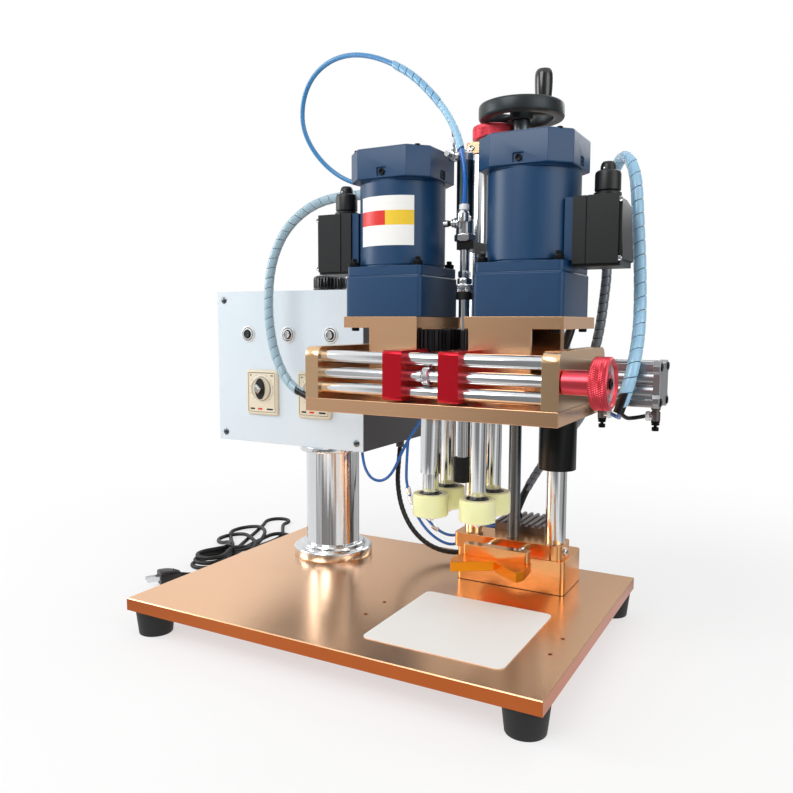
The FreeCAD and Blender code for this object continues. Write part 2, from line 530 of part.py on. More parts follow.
def carriage():
    """Plate that rides on the guide rods, with its sleeves, end plates and slide rails."""
    deckPlate = Body("carriage_plate")
    deckPlate.pad(deckPlate.outline([
        ("-carriageHalf", "carriageFrontY"), ("carriageHalf", "carriageFrontY"),
        ("carriageHalf", "carriageStepY"), ("tailHalf", "carriageStepY"), ("tailHalf", "carriageBackY"),
        ("-tailHalf", "carriageBackY"), ("-tailHalf", "carriageStepY"), ("-carriageHalf", "carriageStepY")],
        level="carriageZ"), "carriageThick")

    def rearCorner(edge, box):
        return upright(edge, box) and edge.Vertexes[0].Point.y > size("carriageFrontY") + 1

    deckPlate.soften("Fillet", rearCorner, "carriageCorner")
    window = deckPlate.outline([("-windowHalfX", "-windowHalfY"), ("windowHalfX", "-windowHalfY"),
                                ("windowHalfX", "windowHalfY"), ("-windowHalfX", "windowHalfY")], level=deck)
    deckPlate.pocket(window, "carriageThick")
    deckPlate.pocket(deckPlate.circles([("-rodSpread", "mastY", "rodRadius + slideGap"),
                                        ("rodSpread", "mastY", "rodRadius + slideGap")], level=deck),
                     "carriageThick")
    nut = rod("nut_boss", "0", "mastY", "carriageZ + carriageThick / 2", "nutRadius",
              "carriageThick / 2 + nutHigh")
    thread = rod("nut_thread", "0", "mastY", "carriageZ - 1", "screwRadius + slideGap",
                 "carriageThick + nutHigh + 2")
    keep("carriage_plate", less("carriage_plate", fused("carriage_whole", [deckPlate.item, nut]), [thread]))

    sleeves = []
    for i, side in enumerate((-1, 1)):
        sleeves.append(less(f"sleeve_{i}",
                            rod(f"sleeve_outer_{i}", f"{side} * rodSpread", "mastY", "carriageZ - sleeveLong",
                                "sleeveRadius", "sleeveLong"),
                            [rod(f"sleeve_bore_{i}", f"{side} * rodSpread", "mastY",
                                 "carriageZ - sleeveLong - 1", "rodRadius + slideGap", "sleeveLong + 2")]))
    keep("guide_sleeves", grouped("guide_sleeves", sleeves))

    walls = []
    rails = [("railY", f"{deck} + upperRailRise"), ("railY", f"{deck} + lowerRailRise"),
             ("rearRailY", f"{deck} + rearRailRise")]
    for side, left in (("left", "-carriageHalf"), ("right", "carriageHalf - endThick")):
        wall = Body(f"end_wall_{side}")
        wall.pad(wall.outline([(left, "carriageFrontY"), (f"{left} + endThick", "carriageFrontY"),
                               (f"{left} + endThick", "carriageFrontY + endDeep"),
                               (left, "carriageFrontY + endDeep")], level=deck), "endHigh")

        def topAcross(edge, box):
            ends = [v.Point for v in edge.Vertexes]
            return topRim(edge, box) and abs(ends[0].y - ends[1].y) < 0.001

        wall.soften("Fillet", topAcross, "endCorner")
        seats = [rod(f"rail_seat_{side}_{i}", "-carriageHalf + endThick - railSeat", y, z, "railRadius",
                     "2 * carriageHalf - 2 * endThick + 2 * railSeat", "X") for i, (y, z) in enumerate(rails)]
        lead = rod(f"lead_hole_{side}", "-carriageHalf + endThick - railSeat", "railY", f"{deck} + leadRise",
                   "leadRadius + slideGap", "2 * carriageHalf", "X")
        cuts = seats + [lead]
        if side == "right":
            cuts.append(rod("air_hole", "carriageHalf - endThick - 1", "airY", f"{deck} + airRise",
                            "airRodRadius + slideGap", "endThick + 2", "X"))
        walls.append(less(f"end_plate_{side}", wall.item, cuts))
    keep("end_plates", grouped("end_plates", walls))
    bars = [rod(f"rail_{i}", "-carriageHalf + endThick - railSeat", y, z, "railRadius",
                "2 * carriageHalf - 2 * endThick + 2 * railSeat", "X") for i, (y, z) in enumerate(rails)]
    keep("slide_rails", grouped("slide_rails", bars))


def adjuster():
    """Adjusting screw across the carriage, and its knurled knob outside the right end plate."""
    start = "-carriageHalf + endThick - railSeat + 1"
    screw = rod("adjusting_screw", start, "railY", f"{deck} + leadRise", "leadRadius",
                f"carriageHalf + restGap + knobStubLong / 2 - ({start})", "X")
    keep("adjusting_screw", screw)
    end = "(knobStubLong + knobThick)"
    knob = turned("knob_solid", [
        ("0", "0"), ("knobStubRadius - 1", "0"), ("knobStubRadius", "1"), ("knobStubRadius", "knobStubLong"),
        ("knobRadius - 1", "knobStubLong"), ("knobRadius", "knobStubLong + 1"), ("knobRadius", f"{end} - 1"),
        ("knobRadius - 1", end), ("knobRadius - knobRim", end), ("knobRadius - knobRim", f"{end} - knobDish"),
        ("0", f"{end} - knobDish")], "carriageHalf + restGap", "railY", f"{deck} + leadRise", "X")
    bore = rod("knob_bore", "carriageHalf + restGap - 1", "railY", f"{deck} + leadRise", "leadRadius",
               "knobStubLong / 2 + 1", "X")
    keep("adjusting_knob", less("adjusting_knob", knob, [bore]))


def openingCylinder():
    """Short square air cylinder on the right end plate, with its two flow fittings underneath."""
    left = "carriageHalf"
    height = f"({deck} + airRise)"
    body = block("air_body", left, "airY - airSide / 2 + 1", f"{height} - airSide / 2 + 1",
                 "airLong - airCapLong", "airSide - 2", "airSide - 2")
    cap = block("air_cap", f"{left} + airLong - airCapLong", "airY - airSide / 2", f"{height} - airSide / 2",
                "airCapLong", "airSide", "airSide")
    chamber = rod("air_chamber", f"{left} + airWall", "airY", height, "airBoreRadius",
                  "airLong - airWall - airCapLong", "X")
    mouth = rod("air_mouth", f"{left} - 1", "airY", height, "airRodRadius + slideGap", "airWall + 2", "X")
    parts = [body, cap]
    foot = f"({height} - airSide / 2)"
    for i, (at, turn) in enumerate(((f"{left} + airWall + 1.5", 0), (f"{left} + airLong - airCapLong + 1", 1))):
        parts.append(rod(f"air_stem_{i}", at, "airY", f"{foot} - fittingDrop", "fittingRadius",
                         "fittingDrop + 3"))
        parts.append(rod(f"air_elbow_{i}", at if turn == 0 else f"{at} - elbowLong", "airY",
                         f"{foot} - fittingDrop + fittingRadius", "fittingRadius - 1", "elbowLong", "X"))
        parts.append(rod(f"air_vent_{i}", at, "airY", f"{foot} - fittingDrop - ventLong", "ventRadius",
                         "ventLong + 1"))
    keep("opening_cylinder", less("opening_cylinder", fused("air_whole_body", parts), [chamber, mouth]))


def presser():
    """Slim air cylinder on its bracket, and the rod with the rubber pad that holds the cap down."""
    top = "(bracketZ + bracketThick)"
    post = block("presser_post", "-postHalf", "postFrontY", deck, "2 * postHalf", "postDeep",
                 f"{top} - {deck}")
    arm = block("presser_arm", "-bracketLeft", "-bracketFront", "bracketZ", "bracketLeft + bracketRight",
                "postFrontY + bracketFront", "bracketThick")
    nut = rod("presser_nut", "0", "0", top, "pressNutRadius", "pressNutHigh")
    barrel = rod("presser_barrel", "0", "0", top, "pressBodyRadius", "pressBodyHigh")
    crown = rod("presser_crown", "-fittingRadius - 9.5", "0", f"{top} + pressBodyHigh", "fittingRadius", "16")
    elbow = rod("presser_elbow", "-fittingRadius - 9.5", "0", f"{top} + pressBodyHigh + 5", "fittingRadius - 1",
                "fittingRadius + 9.5", "X")
    neck = rod("presser_neck", "0", "0", f"{top} + pressBodyHigh", "fittingRadius", "9")
    lower = rod("presser_lower", "lowerPortX", "lowerPortY", "lowerPortZ", "fittingRadius", "lowerPortHigh")
    inlet = rod("presser_inlet", "lowerPortX", "lowerPortY", "lowerPortZ + fittingRadius", "fittingRadius - 1",
                "-lowerPortY - pressBoreRadius + 1", "Y")
    valve = rod("presser_valve", "lowerPortX - 20", "lowerPortY", "lowerPortZ + fittingRadius", "fittingRadius - 1.5",
                "20", "X")
    chamber = rod("presser_chamber", "0", "0", f"{top} + pressWall", "pressBoreRadius",
                  "pressBodyHigh - 2 * pressWall")
    mouth = rod("presser_mouth", "0", "0", "bracketZ - 1", "pressRodRadius + slideGap",
                "bracketThick + pressWall + 2")
    keep("presser_cylinder", less("presser_cylinder", fused("presser_whole", [
        post, arm, nut, barrel, crown, elbow, neck, lower, inlet, valve]), [chamber, mouth]))
    shaft = turned("presser_rod", [
        ("0", "plungerFootZ - padGrip"), ("plungerRadius - 2", "plungerFootZ - padGrip"),
        ("plungerRadius - 2", "plungerFootZ"), ("plungerRadius", "plungerFootZ"),
        ("plungerRadius", "pressRodFootZ - couplingHigh"), ("couplingRadius", "pressRodFootZ - couplingHigh"),
        ("couplingRadius", "pressRodFootZ"), ("pressRodRadius", "pressRodFootZ"),
        ("pressRodRadius", "pressPistonZ"), ("pressBoreRadius - slideGap", "pressPistonZ"),
        ("pressBoreRadius - slideGap", "pressPistonZ + pressPistonHigh"), ("0", "pressPistonZ + pressPistonHigh")])
    keep("presser_rod", shaft)
    foot = "(plungerFootZ - padHigh)"
    keep("presser_pad", turned("presser_pad", [
        ("0", foot), ("padRadius - 1", foot), ("padRadius", f"{foot} + 1"), ("padRadius", "plungerFootZ"),
        ("plungerRadius - 2", "plungerFootZ"), ("plungerRadius - 2", "plungerFootZ - padGrip"),
        ("0", "plungerFootZ - padGrip")]))


def across(side, inner, outer):
    """Low edge and width of a piece between two distances from the capping axis, on one side."""
    return (inner if side > 0 else f"-({outer})"), f"({outer}) - ({inner})"


def gear(label, x, y, toothAt):
    """Spur gear with straight-flanked teeth; toothAt is the angle of one tooth, in degrees."""
    teeth = int(size("gearTeeth"))
    pitch = size("gearModule") * teeth / 2
    tip, root = pitch + 0.9 * size("gearModule"), pitch - 1.15 * size("gearModule")
    step = math.radians(360 / teeth)
    corners = []
    for i in range(teeth):
        middle = math.radians(toothAt) + i * step
        for radius, share in ((root, -0.34), (tip, -0.12), (tip, 0.12), (root, 0.34)):
            angle = middle + share * step
            corners.append(Vector(x + radius * math.cos(angle), y + radius * math.sin(angle), 0))
    face = Part.Face(Part.makePolygon(corners + corners[:1]))
    return face.extrude(Vector(0, 0, size("gearThick")))


def unit(name, side):
    """One motor unit: frame, slide block, gear motor, terminal box, pinion and two wheel spindles."""
    sign = "" if side > 0 else "-"
    inner = "rightPlateInner" if side > 0 else "leftPlateInner"
    x, wide = across(side, inner, "plateOuter")
    parts = [block(f"plate_{name}", x, "-unitFront", "motorPlateZ", wide, "unitFront + plateBackY",
                   "motorPlateThick")]
    wallInner = "rightPlateInner + 4" if side > 0 else "leftPlateInner"
    x, wide = across(side, wallInner, "wallOuter")
    for tag, y, thick in (("front", "-unitFront", "wallThick"),
                          ("back", "plateBackY - rearWallThick", "rearWallThick")):
        parts.append(block(f"wall_{tag}_{name}", x, y, bearingZ, wide, thick, f"motorPlateZ - {bearingZ}"))
    x, wide = across(side, "bearingInner", "bearingOuter")
    parts.append(block(f"bearing_{name}", x, "-unitFront", bearingZ, wide, "unitFront + plateBackY",
                       "bearingThick"))
    if side > 0:
        parts.append(rod("air_rod", "bearingOuter", "airY", f"{deck} + airRise", "airRodRadius",
                         "airPistonX - bearingOuter", "X"))
        parts.append(rod("air_piston", "airPistonX", "airY", f"{deck} + airRise",
                         "airBoreRadius - slideGap", "airPistonLong", "X"))
    cuts = [rod(f"rear_bore_{name}", "bearingInner - 10" if side > 0 else "-bearingOuter - 10", "rearRailY",
                f"{deck} + rearRailRise", "railRadius + slideGap", "bearingOuter + 20", "X"),
            rod(f"shaft_bore_{name}", f"{sign}(spindleX + {pinionReach})", "0", "motorPlateZ - 1",
                "pinionShaftRadius + slideGap", "motorPlateThick + 2")]
    for i, way in enumerate((-1, 1)):
        cuts.append(rod(f"spindle_bore_{name}_{i}", f"{sign}spindleX", f"{way} * spindleY", f"{bearingZ} - 1",
                        "spindleRadius + slideGap", "bearingThick + 2"))
    keep(f"motor_plate_{name}", less(f"motor_plate_{name}", fused(f"unit_whole_{name}", parts), cuts))

    shoe = plate(f"shoe_{name}", f"{sign}slideBlockX - slideBlockWide / 2", "-slideBlockFront",
                 f"{deck} + slideBlockFoot", "slideBlockWide", "slideBlockFront - unitFront", "slideBlockHigh")

    def frontEnds(edge, box):
        ends = [v.Point for v in edge.Vertexes]
        return all(abs(p.y - box.YMin) < 0.001 for p in ends) and abs(ends[0].z - ends[1].z) < 0.001

    shoe.soften("Fillet", frontEnds, "slideBlockCorner")
    bores = [rod(f"shoe_bore_{name}_{i}", f"{sign}slideBlockX - slideBlockWide", "railY", f"{deck} + {rise}",
                 f"{radius} + slideGap", "2 * slideBlockWide", "X")
             for i, (rise, radius) in enumerate((("upperRailRise", "railRadius"), ("lowerRailRise", "railRadius"),
                                                 ("leadRise", "leadRadius")))]
    keep(f"slide_block_{name}", less(f"slide_block_{name}", shoe.item, bores))
    gearMotor(name, side)
    terminalBox(name, side)
    gears(name, side)


def gearMotor(name, side):
    """Square gearbox, round motor and cornered fan cover, painted as one."""
    sign = "" if side > 0 else "-"
    axis = f"{sign}motorX"
    box = plate(f"gearbox_{name}", f"{axis} - gearboxSide / 2", "-gearboxSide / 2", motorFloor, "gearboxSide",
                "gearboxSide", "gearboxHigh", corner="gearboxCorner",
                bevel="0.8")
    flangeZ = f"({motorFloor} + gearboxHigh)"
    flange = plate(f"flange_{name}", f"{axis} - flangeSide / 2", "-flangeSide / 2", flangeZ, "flangeSide",
                   "flangeSide", "flangeHigh", corner="gearboxCorner")
    bodyZ = f"({flangeZ} + flangeHigh)"
    coverZ = f"({bodyZ} + motorHigh)"
    barrel = rod(f"barrel_{name}", axis, "0", bodyZ, "motorRadius", "motorHigh")
    half, cut = "coverSide / 2", "coverCut"
    cover = Body(f"cover_{name}")
    corners = []
    for i, j, k in ((-1, -1, 0), (1, -1, 1), (1, 1, 0), (-1, 1, 1)):
        pair = [(f"{axis} + {i} * ({half} - {cut})", f"{j} * {half}"),
                (f"{axis} + {i} * {half}", f"{j} * ({half} - {cut})")]
        corners += pair if k else pair[::-1]
    cover.pad(cover.outline(corners, level=coverZ), "coverHigh")
    cover.soften("Fillet", topRim, "2")
    parts = [box.item, flange.item, barrel, cover.item]
    for i in (-1, 1):
        for j in (-1, 1):
            parts.append(rod(f"stud_{name}_{i + 1}{j + 1}", f"{axis} + {i} * studReach", f"{j} * studReach", bodyZ,
                             "studRadius", "studHigh"))
    x, wide = across(side, "motorX + motorRadius - 12", "motorX + bossOut")
    parts.append(block(f"boss_{name}", x, "bossY - bossDeep / 2", f"{bodyZ} + bossRise", wide, "bossDeep",
                       "bossHigh"))
    cuts = []
    for i, (u, v) in enumerate(((0, -1), (1, 0), (0, 1), (-1, 0))):
        cuts.append(block(f"recess_{name}_{i}",
                          f"{axis} + {u} * coverSide / 2 - {'recessDeep' if u else 'recessWide / 2'}",
                          f"{v} * coverSide / 2 - {'recessDeep' if v else 'recessWide / 2'}",
                          f"{coverZ} + recessRise",
                          "2 * recessDeep" if u else "recessWide", "2 * recessDeep" if v else "recessWide",
                          "recessHigh"))
    keep(f"gear_motor_{name}", less(f"gear_motor_{name}", fused(f"gear_motor_whole_{name}", parts), cuts))


def terminalBox(name, side):
    """Moulded terminal box with a sloping lid and the cable gland on its top."""
    bodyZ = f"({motorFloor} + gearboxHigh + flangeHigh)"
    start = "(motorX + bossOut)"
    front, back = "bossY - terminalDeep / 2", "bossY + terminalDeep / 2"
    foot, top = f"{bodyZ} - terminalDrop", f"{bodyZ} - terminalDrop + terminalHigh"
    sign = "" if side > 0 else "-"
    shell = Body(f"terminal_shell_{name}")
    end = f"{start} + terminalWide"
    shell.pad(shell.outline([
        (f"{sign}({start})", foot), (f"{sign}({end})", foot), (f"{sign}({end})", f"{foot} + terminalSkirt"),
        (f"{sign}({end} - terminalLid / 2)", f"{top} - terminalLid"), (f"{sign}({end} - terminalLid)", f"{top}"),
        (f"{sign}({start})", top)], plane="XZ_Plane", level=f"-({back})"), "terminalDeep")
    shift = "capShiftRight" if side > 0 else "capShiftLeft"
    capX = f"{sign}({start} + {shift})"
    neck = rod(f"cap_neck_{name}", capX, "bossY", top, "capNeckRadius", "capNeckHigh")
    cap = rod(f"cap_body_{name}", capX, "bossY", f"{top} + capNeckHigh", "capRadius", "capHigh")
    dome = cone(f"cap_dome_{name}", capX, "bossY", f"{top} + capNeckHigh + capHigh", "capDomeRadius + 2",
                "capDomeRadius", "capDome")
    keep(f"terminal_box_{name}", fused(f"terminal_box_{name}", [shell.item, neck, cap, dome]))


def gears(name, side):
    """Pinion on the gearbox shaft, and the two spindles whose gears it drives."""
    x = side * size("spindleX")
    reach = math.sqrt((size("gearModule") * size("gearTeeth")) ** 2 - size("spindleY") ** 2)
    pinionX = side * (size("spindleX") + reach)
    floor = size("motorPlateZ") - size("gearGap") - size("gearThick")
    up = size("pinionShaftUp") + size("gearGap")
    lift = Vector(0, 0, floor)
    pinion = gear(f"pinion_{name}", pinionX, 0, 0 if side < 0 else 180)
    shaft = Part.makeCylinder(size("pinionShaftRadius"), up + size("gearThick"), Vector(pinionX, 0, 0))
    item = doc.addObject("Part::Feature", f"pinion_{name}")
    item.Shape = pinion.fuse(shaft).removeSplitter()
    item.Placement = Placement(lift, Rotation())
    keep(f"pinion_{name}", item)
    step = 360 / size("gearTeeth")
    for way, place in ((-1, "front"), (1, "rear")):
        y = way * size("spindleY")
        toward = math.degrees(math.atan2(y, x - pinionX))
        phase = (toward - (0 if side < 0 else 180)) % step
        lean = phase if phase < step / 2 else phase - step
        # a gap of the driven gear faces the tooth of the pinion that is nearest the line of centres
        tooth = toward + 180 + lean + step / 2
        driven = gear(f"gear_{name}_{place}", x, y, tooth)
        driven.translate(lift)
        wheelTop = size("wheelZ") + size("puHigh")
        foot = size("wheelZ") - size("spindleStub")
        shaftHigh = floor + size("gearThick") + size("gearGap") / 2 - foot
        shaft = Part.makeCylinder(size("spindleRadius"), shaftHigh, Vector(x, y, foot))
        shape = driven.fuse(shaft)
        if name == "left" and place == "front":
            # this spindle shows a stouter sleeve below the carriage
            sleeve = Part.makeCylinder(size("spindleRadius") + size("sleeveStep"),
                                       size("carriageZ") - size("sleeveFootZ"), Vector(x, y, size("sleeveFootZ")))
            shape = shape.fuse(sleeve)
        item = doc.addObject("Part::Feature", f"spindle_{name}_{place}")
        item.Shape = shape.removeSplitter()
        keep(f"spindle_{name}_{place}", item)
        sign = "" if side > 0 else "-"
        keep(f"gripper_wheel_{name}_{place}", turned(f"gripper_wheel_{name}_{place}", [
            ("spindleRadius", "0"), ("puRadius - puBevel", "0"), ("puRadius", "puBevel"),
            ("puRadius", "puHigh - puBevel"), ("puRadius - puBevel", "puHigh"), ("spindleRadius", "puHigh")],
            f"{sign}spindleX", f"{way} * spindleY", "wheelZ"))


def pipe(points, radius):
    """Round tube along straight runs joined by arcs as large as the runs allow."""
    route = [Vector(*p) for p in points]
    edges, start, bends, long = [], route[0], [], 0
    for before, here, after in zip(route, route[1:], route[2:]):
        into, out = here - before, after - here
        setback = 0.45 * min(into.Length, out.Length)
        into.normalize()
        out.normalize()
        turn = into.getAngle(out)
        bend = setback / math.tan(turn / 2)
        bends.append(round(bend, 1))
        inward = out - into
        inward.normalize()
        first, last = here - into * setback, here + out * setback
        middle = here + inward * (bend / math.cos(turn / 2) - bend)
        edges += [Part.LineSegment(start, first).toShape(), Part.Arc(first, middle, last).toShape()]
        long += (first - start).Length + bend * turn
        start = last
    edges.append(Part.LineSegment(start, route[-1]).toShape())
    long += (route[-1] - start).Length
    section = Part.Wire(Part.Circle(route[0], route[1] - route[0], radius).toShape())
    tube = Part.Wire(edges).makePipeShell([section], True, False)
    want = math.pi * radius ** 2 * long
    if abs(tube.Volume / want - 1) > 0.001:
        raise ValueError(f"a tube's volume is {tube.Volume:.0f} and its section times its length {want:.0f}")
    return tube, long, bends


def hose(label, runs, branched=False):
    """A hose's node, from one or more routes given as (points, radius); branches grow from the first."""
    shapes = []
    for points, radius in runs:
        tube, long, bends = pipe(points, size(radius))
        print(f"{label}: length {long:.0f} mm, radii {bends}")
        shapes.append(tube)
    item = doc.addObject("Part::Feature", label)
    whole = shapes[0].fuse(shapes[1:]) if branched else Part.makeCompound(shapes)
    item.Shape = whole if len(shapes) > 1 else shapes[0]
    keep(label, item)


# Air lines in their wrap, routes from end to end
trunkRoute = [
    (-198.8, 165, 221), (-178, 165.3, 221), (-152, 158.5, 220.8), (-132, 140, 221), (-125, 116, 221.5),
    (-133, 92, 222.5), (-154, 75.5, 224), (-182, 69, 226.5), (-212, 68.5, 228.5), (-240, 68, 232.5),
    (-263, 67.5, 240.5), (-284.5, 68, 254.5), (-301, 69, 279), (-311.5, 70, 308), (-316.5, 71, 338),
    (-318.2, 73, 368), (-317.2, 75, 398), (-309.5, 77, 426.5), (-295.5, 79, 452), (-273.5, 81, 472.5),
    (-246.5, 82, 486), (-218.5, 83, 491.5), (-192, 83.8, 492.2), (-166.5, 84.2, 492), (-143.3, 84, 489.5),
    (-119.5, 84, 476), (-104.5, 84, 452), (-100.5, 84, 423), (-101.3, 84, 391), (-100, 84, 359),
    (-100.5, 84, 328), (-95, 84.3, 301), (-78, 84.5, 280), (-52, 84.5, 271), (-22, 84.3, 270), (8, 84.5, 271),
    (38, 85.5, 271), (63, 88, 281), (80, 93, 302), (87, 101, 328), (89.5, 109.5, 356), (91, 117.5, 385),
    (95.5, 125, 412), (102.5, 132, 438), (110.5, 137.5, 462), (116.5, 138, 486), (124.5, 125, 504.5),
    (137.5, 102, 512), (151, 79.5, 504.5), (159.5, 67, 484), (163, 61, 458), (166.5, 54, 430),
    (170.6, 45.5, 398), (173.8, 37, 366), (176.5, 26, 336), (178.2, 10, 313), (178.1, -4, 293.5),
    (174.2, -11, 270.5), (167, -12, 248.5)]
branchLeft = [(167.5, -11, 250), (166, -2, 243), (161.5, 14, 241), (150.5, 29.5, 242.5)]
branchRight = [(168, -11, 250), (170.5, -2, 243), (175, 14, 241), (185, 29.5, 242.5)]
pressHoseRoute = [
    (4.8, -14, 455.2), (6.7, -15.5, 472), (5.6, -15.5, 491), (0.6, -12.5, 510), (-9.5, -4.5, 531.8),
    (-23.4, 2.5, 553.3), (-43.3, 9.5, 576.1), (-70.6, 18.5, 601.8), (-101.2, 27, 621.9), (-133.4, 33, 637.4), (-166.9, 39, 646.3),
    (-201.2, 46, 646), (-231, 53, 633.7), (-249.8, 60, 611.7), (-256, 66, 583.3), (-248.9, 73, 556.8),
    (-230.8, 80, 532.1), (-207.5, 86, 514.3), (-182, 90.5, 505), (-156, 93, 502.5), (-133, 92, 497),
    (-116.5, 88, 480)]
portTube = [(-14, 0, 519), (-14.5, 0.5, 531), (-19, 2.5, 543.5), (-27, 4.8, 556)]
dropRoute = [
    (109, 134.2, 443), (113.5, 134.5, 422), (117.5, 133, 393.7), (115.8, 128, 359.9), (113.7, 124, 331.7),
    (109.8, 122, 307.9), (103.5, 126, 284), (98.5, 138, 259), (89, 162, 236), (76, 190, 217), (59, 215, 199),
    (38, 232, 178), (18, 238.5, 153), (2, 239, 127), (-11, 234, 102), (-17, 226, 79.6)]
clampHoseRoute = [
    (-209, 243, 148.5), (-207.5, 236, 126), (-202, 222, 98), (-187, 207, 66), (-165, 200, 37), (-138, 202, 17),
    (-109, 212, 9), (-82, 225, 13), (-63, 235, 31), (-51, 234, 49), (-40, 231, 57.4)]
mainsRoute = [
    (-385, 314, 201), (-385, 337, 199.5), (-385.5, 358, 184), (-386, 367, 152), (-386.5, 366, 112),
    (-387, 358, 72), (-388.5, 346, 34), (-392, 333, 0), (-401, 321, -28), (-418, 311, -41.5),
    (-441, 305, -41.8), (-461, 303, -40), (-477, 303.4, -37.6)]
mainsTailRoute = [(-488, 121, -37.5), (-484, 108.5, -40.6), (-471, 98, -41.8), (-462, 84, -41.6),
                  (-464, 68, -39), (-472.5, 53, -35.2)]
hankOutline = [(-462, 112), (-497, 122), (-548, 196), (-572, 250), (-580, 300), (-582, 398), (-560, 408),
               (-524, 386), (-486, 328), (-456, 252), (-450, 190)]


def lines():
    """Air hoses and the mains lead with its hank and plug."""
    hose("trunk_hose", [(trunkRoute, "trunkRadius"), (branchLeft, "branchRadius"),
                        (branchRight, "branchRadius")], True)
    hose("presser_hose", [(pressHoseRoute, "pressHoseRadius"), (portTube, "portTubeRadius")], True)
    hose("drop_hose", [(dropRoute, "dropRadius")])
    hose("clamp_hose", [(clampHoseRoute, "clampHoseRadius")])
    hose("mains_cord", [(mainsRoute, "mainsRadius"), (mainsTailRoute, "mainsRadius")])
    hank = Body("mains_hank")
    hank.pad(hank.outline(hankOutline, level="-baseThick - footHigh"), "hankHigh")
    keep("mains_hank", hank.item)
    body = block("plug_body", "-plugWide / 2", "-plugLong / 2", "0", "plugWide", "plugLong", "plugHigh")
    pins = [block(f"plug_pin_{i}", f"{side} * pinSpread / 2 - pinThick / 2", "-plugLong / 2 - pinLong",
                  "plugHigh / 2 - pinWide / 2", "pinThick", "pinLong + 1", "pinWide")
            for i, side in enumerate((-1, 1))]
    plug = fused("plug_solid", [body] + pins)
    turnedPlug = doc.addObject("Part::Compound", "mains_plug")
    turnedPlug.Links = [plug]
    turnedPlug.Placement = Placement(Vector(), Rotation(Vector(0, 0, 1), -30))
    move(turnedPlug, "plugX", "plugY", "-baseThick - footHigh")
    keep("mains_plug", turnedPlug)


base()
column()
controlBox()
airUnit()
mast()
handDrive()
clampHead()
carriage()
adjuster()
openingCylinder()
presser()
unit("left", -1)
unit("right", 1)
lines()

doc.recompute()
wrong = [item.Name for item in doc.Objects if {"Invalid", "Error"} & set(item.State)]
wrong += [label for label, item in nodes.items() if item.Shape.isNull() or not item.Shape.isValid()]
if wrong:
    raise ValueError(f"failed objects: {wrong}")
os.makedirs("parts", exist_ok=True)
for label, item in nodes.items():
    item.Shape.exportStep(f"parts/{label}.step")
print(len(nodes), "sub-parts written")
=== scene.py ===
import math

import bmesh
import bpy
from mathutils import Matrix, Vector


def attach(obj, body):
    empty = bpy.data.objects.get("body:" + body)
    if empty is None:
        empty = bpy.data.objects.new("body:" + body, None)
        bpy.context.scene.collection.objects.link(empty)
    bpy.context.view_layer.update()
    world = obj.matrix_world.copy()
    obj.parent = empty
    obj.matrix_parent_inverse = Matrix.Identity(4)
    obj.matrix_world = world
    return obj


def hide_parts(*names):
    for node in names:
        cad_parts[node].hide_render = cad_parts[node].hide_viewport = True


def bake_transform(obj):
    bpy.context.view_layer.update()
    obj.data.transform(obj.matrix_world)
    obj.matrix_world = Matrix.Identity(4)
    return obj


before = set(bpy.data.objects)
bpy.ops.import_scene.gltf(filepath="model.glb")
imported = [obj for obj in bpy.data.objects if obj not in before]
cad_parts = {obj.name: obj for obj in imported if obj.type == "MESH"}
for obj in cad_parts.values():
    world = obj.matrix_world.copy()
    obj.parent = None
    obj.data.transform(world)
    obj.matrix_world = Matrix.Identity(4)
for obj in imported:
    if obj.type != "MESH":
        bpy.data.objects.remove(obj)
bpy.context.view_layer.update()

scene = bpy.context.scene
scene.view_settings.view_transform = "Standard"

# Camera at the photograph's place. Focal length and frame are in pixels of the photograph.
view = {"place": (0.3318, -0.7511, 0.3352), "yaw": 28.83, "pitch": 5.62, "roll": 0.2, "focal": 765.8, "frame": 793}

camera = bpy.data.objects.new("camera", bpy.data.cameras.new("camera"))
scene.collection.objects.link(camera)
camera.data.lens = camera.data.sensor_width * view["focal"] / view["frame"]
camera.data.clip_start = 0.02
camera.matrix_world = (Matrix.Translation(view["place"]) @ Matrix.Rotation(math.radians(view["yaw"]), 4, "Z")
                       @ Matrix.Rotation(math.radians(90 - view["pitch"]), 4, "X")
                       @ Matrix.Rotation(math.radians(view["roll"]), 4, "Z"))
scene.camera = camera
print("camera placed")


class Wire:                        # a socket that sums can be written on
    def __init__(self, finish, plug):
        self.finish = finish
        self.plug = plug

    def maths(self, operation, first, second):
        return self.finish.node("Math", {"operation": operation}, {"Value": first, "Value_001": second})

    def __add__(self, other):
        return self.maths("ADD", self, other)

    def __radd__(self, other):
        return self.maths("ADD", other, self)

    def __sub__(self, other):
        return self.maths("SUBTRACT", self, other)

    def __rsub__(self, other):
        return self.maths("SUBTRACT", other, self)

    def __mul__(self, other):
        return self.maths("MULTIPLY", self, other)

    def __rmul__(self, other):
        return self.maths("MULTIPLY", other, self)

    def __gt__(self, other):
        return self.maths("GREATER_THAN", self, other)

    def __lt__(self, other):
        return self.maths("LESS_THAN", self, other)


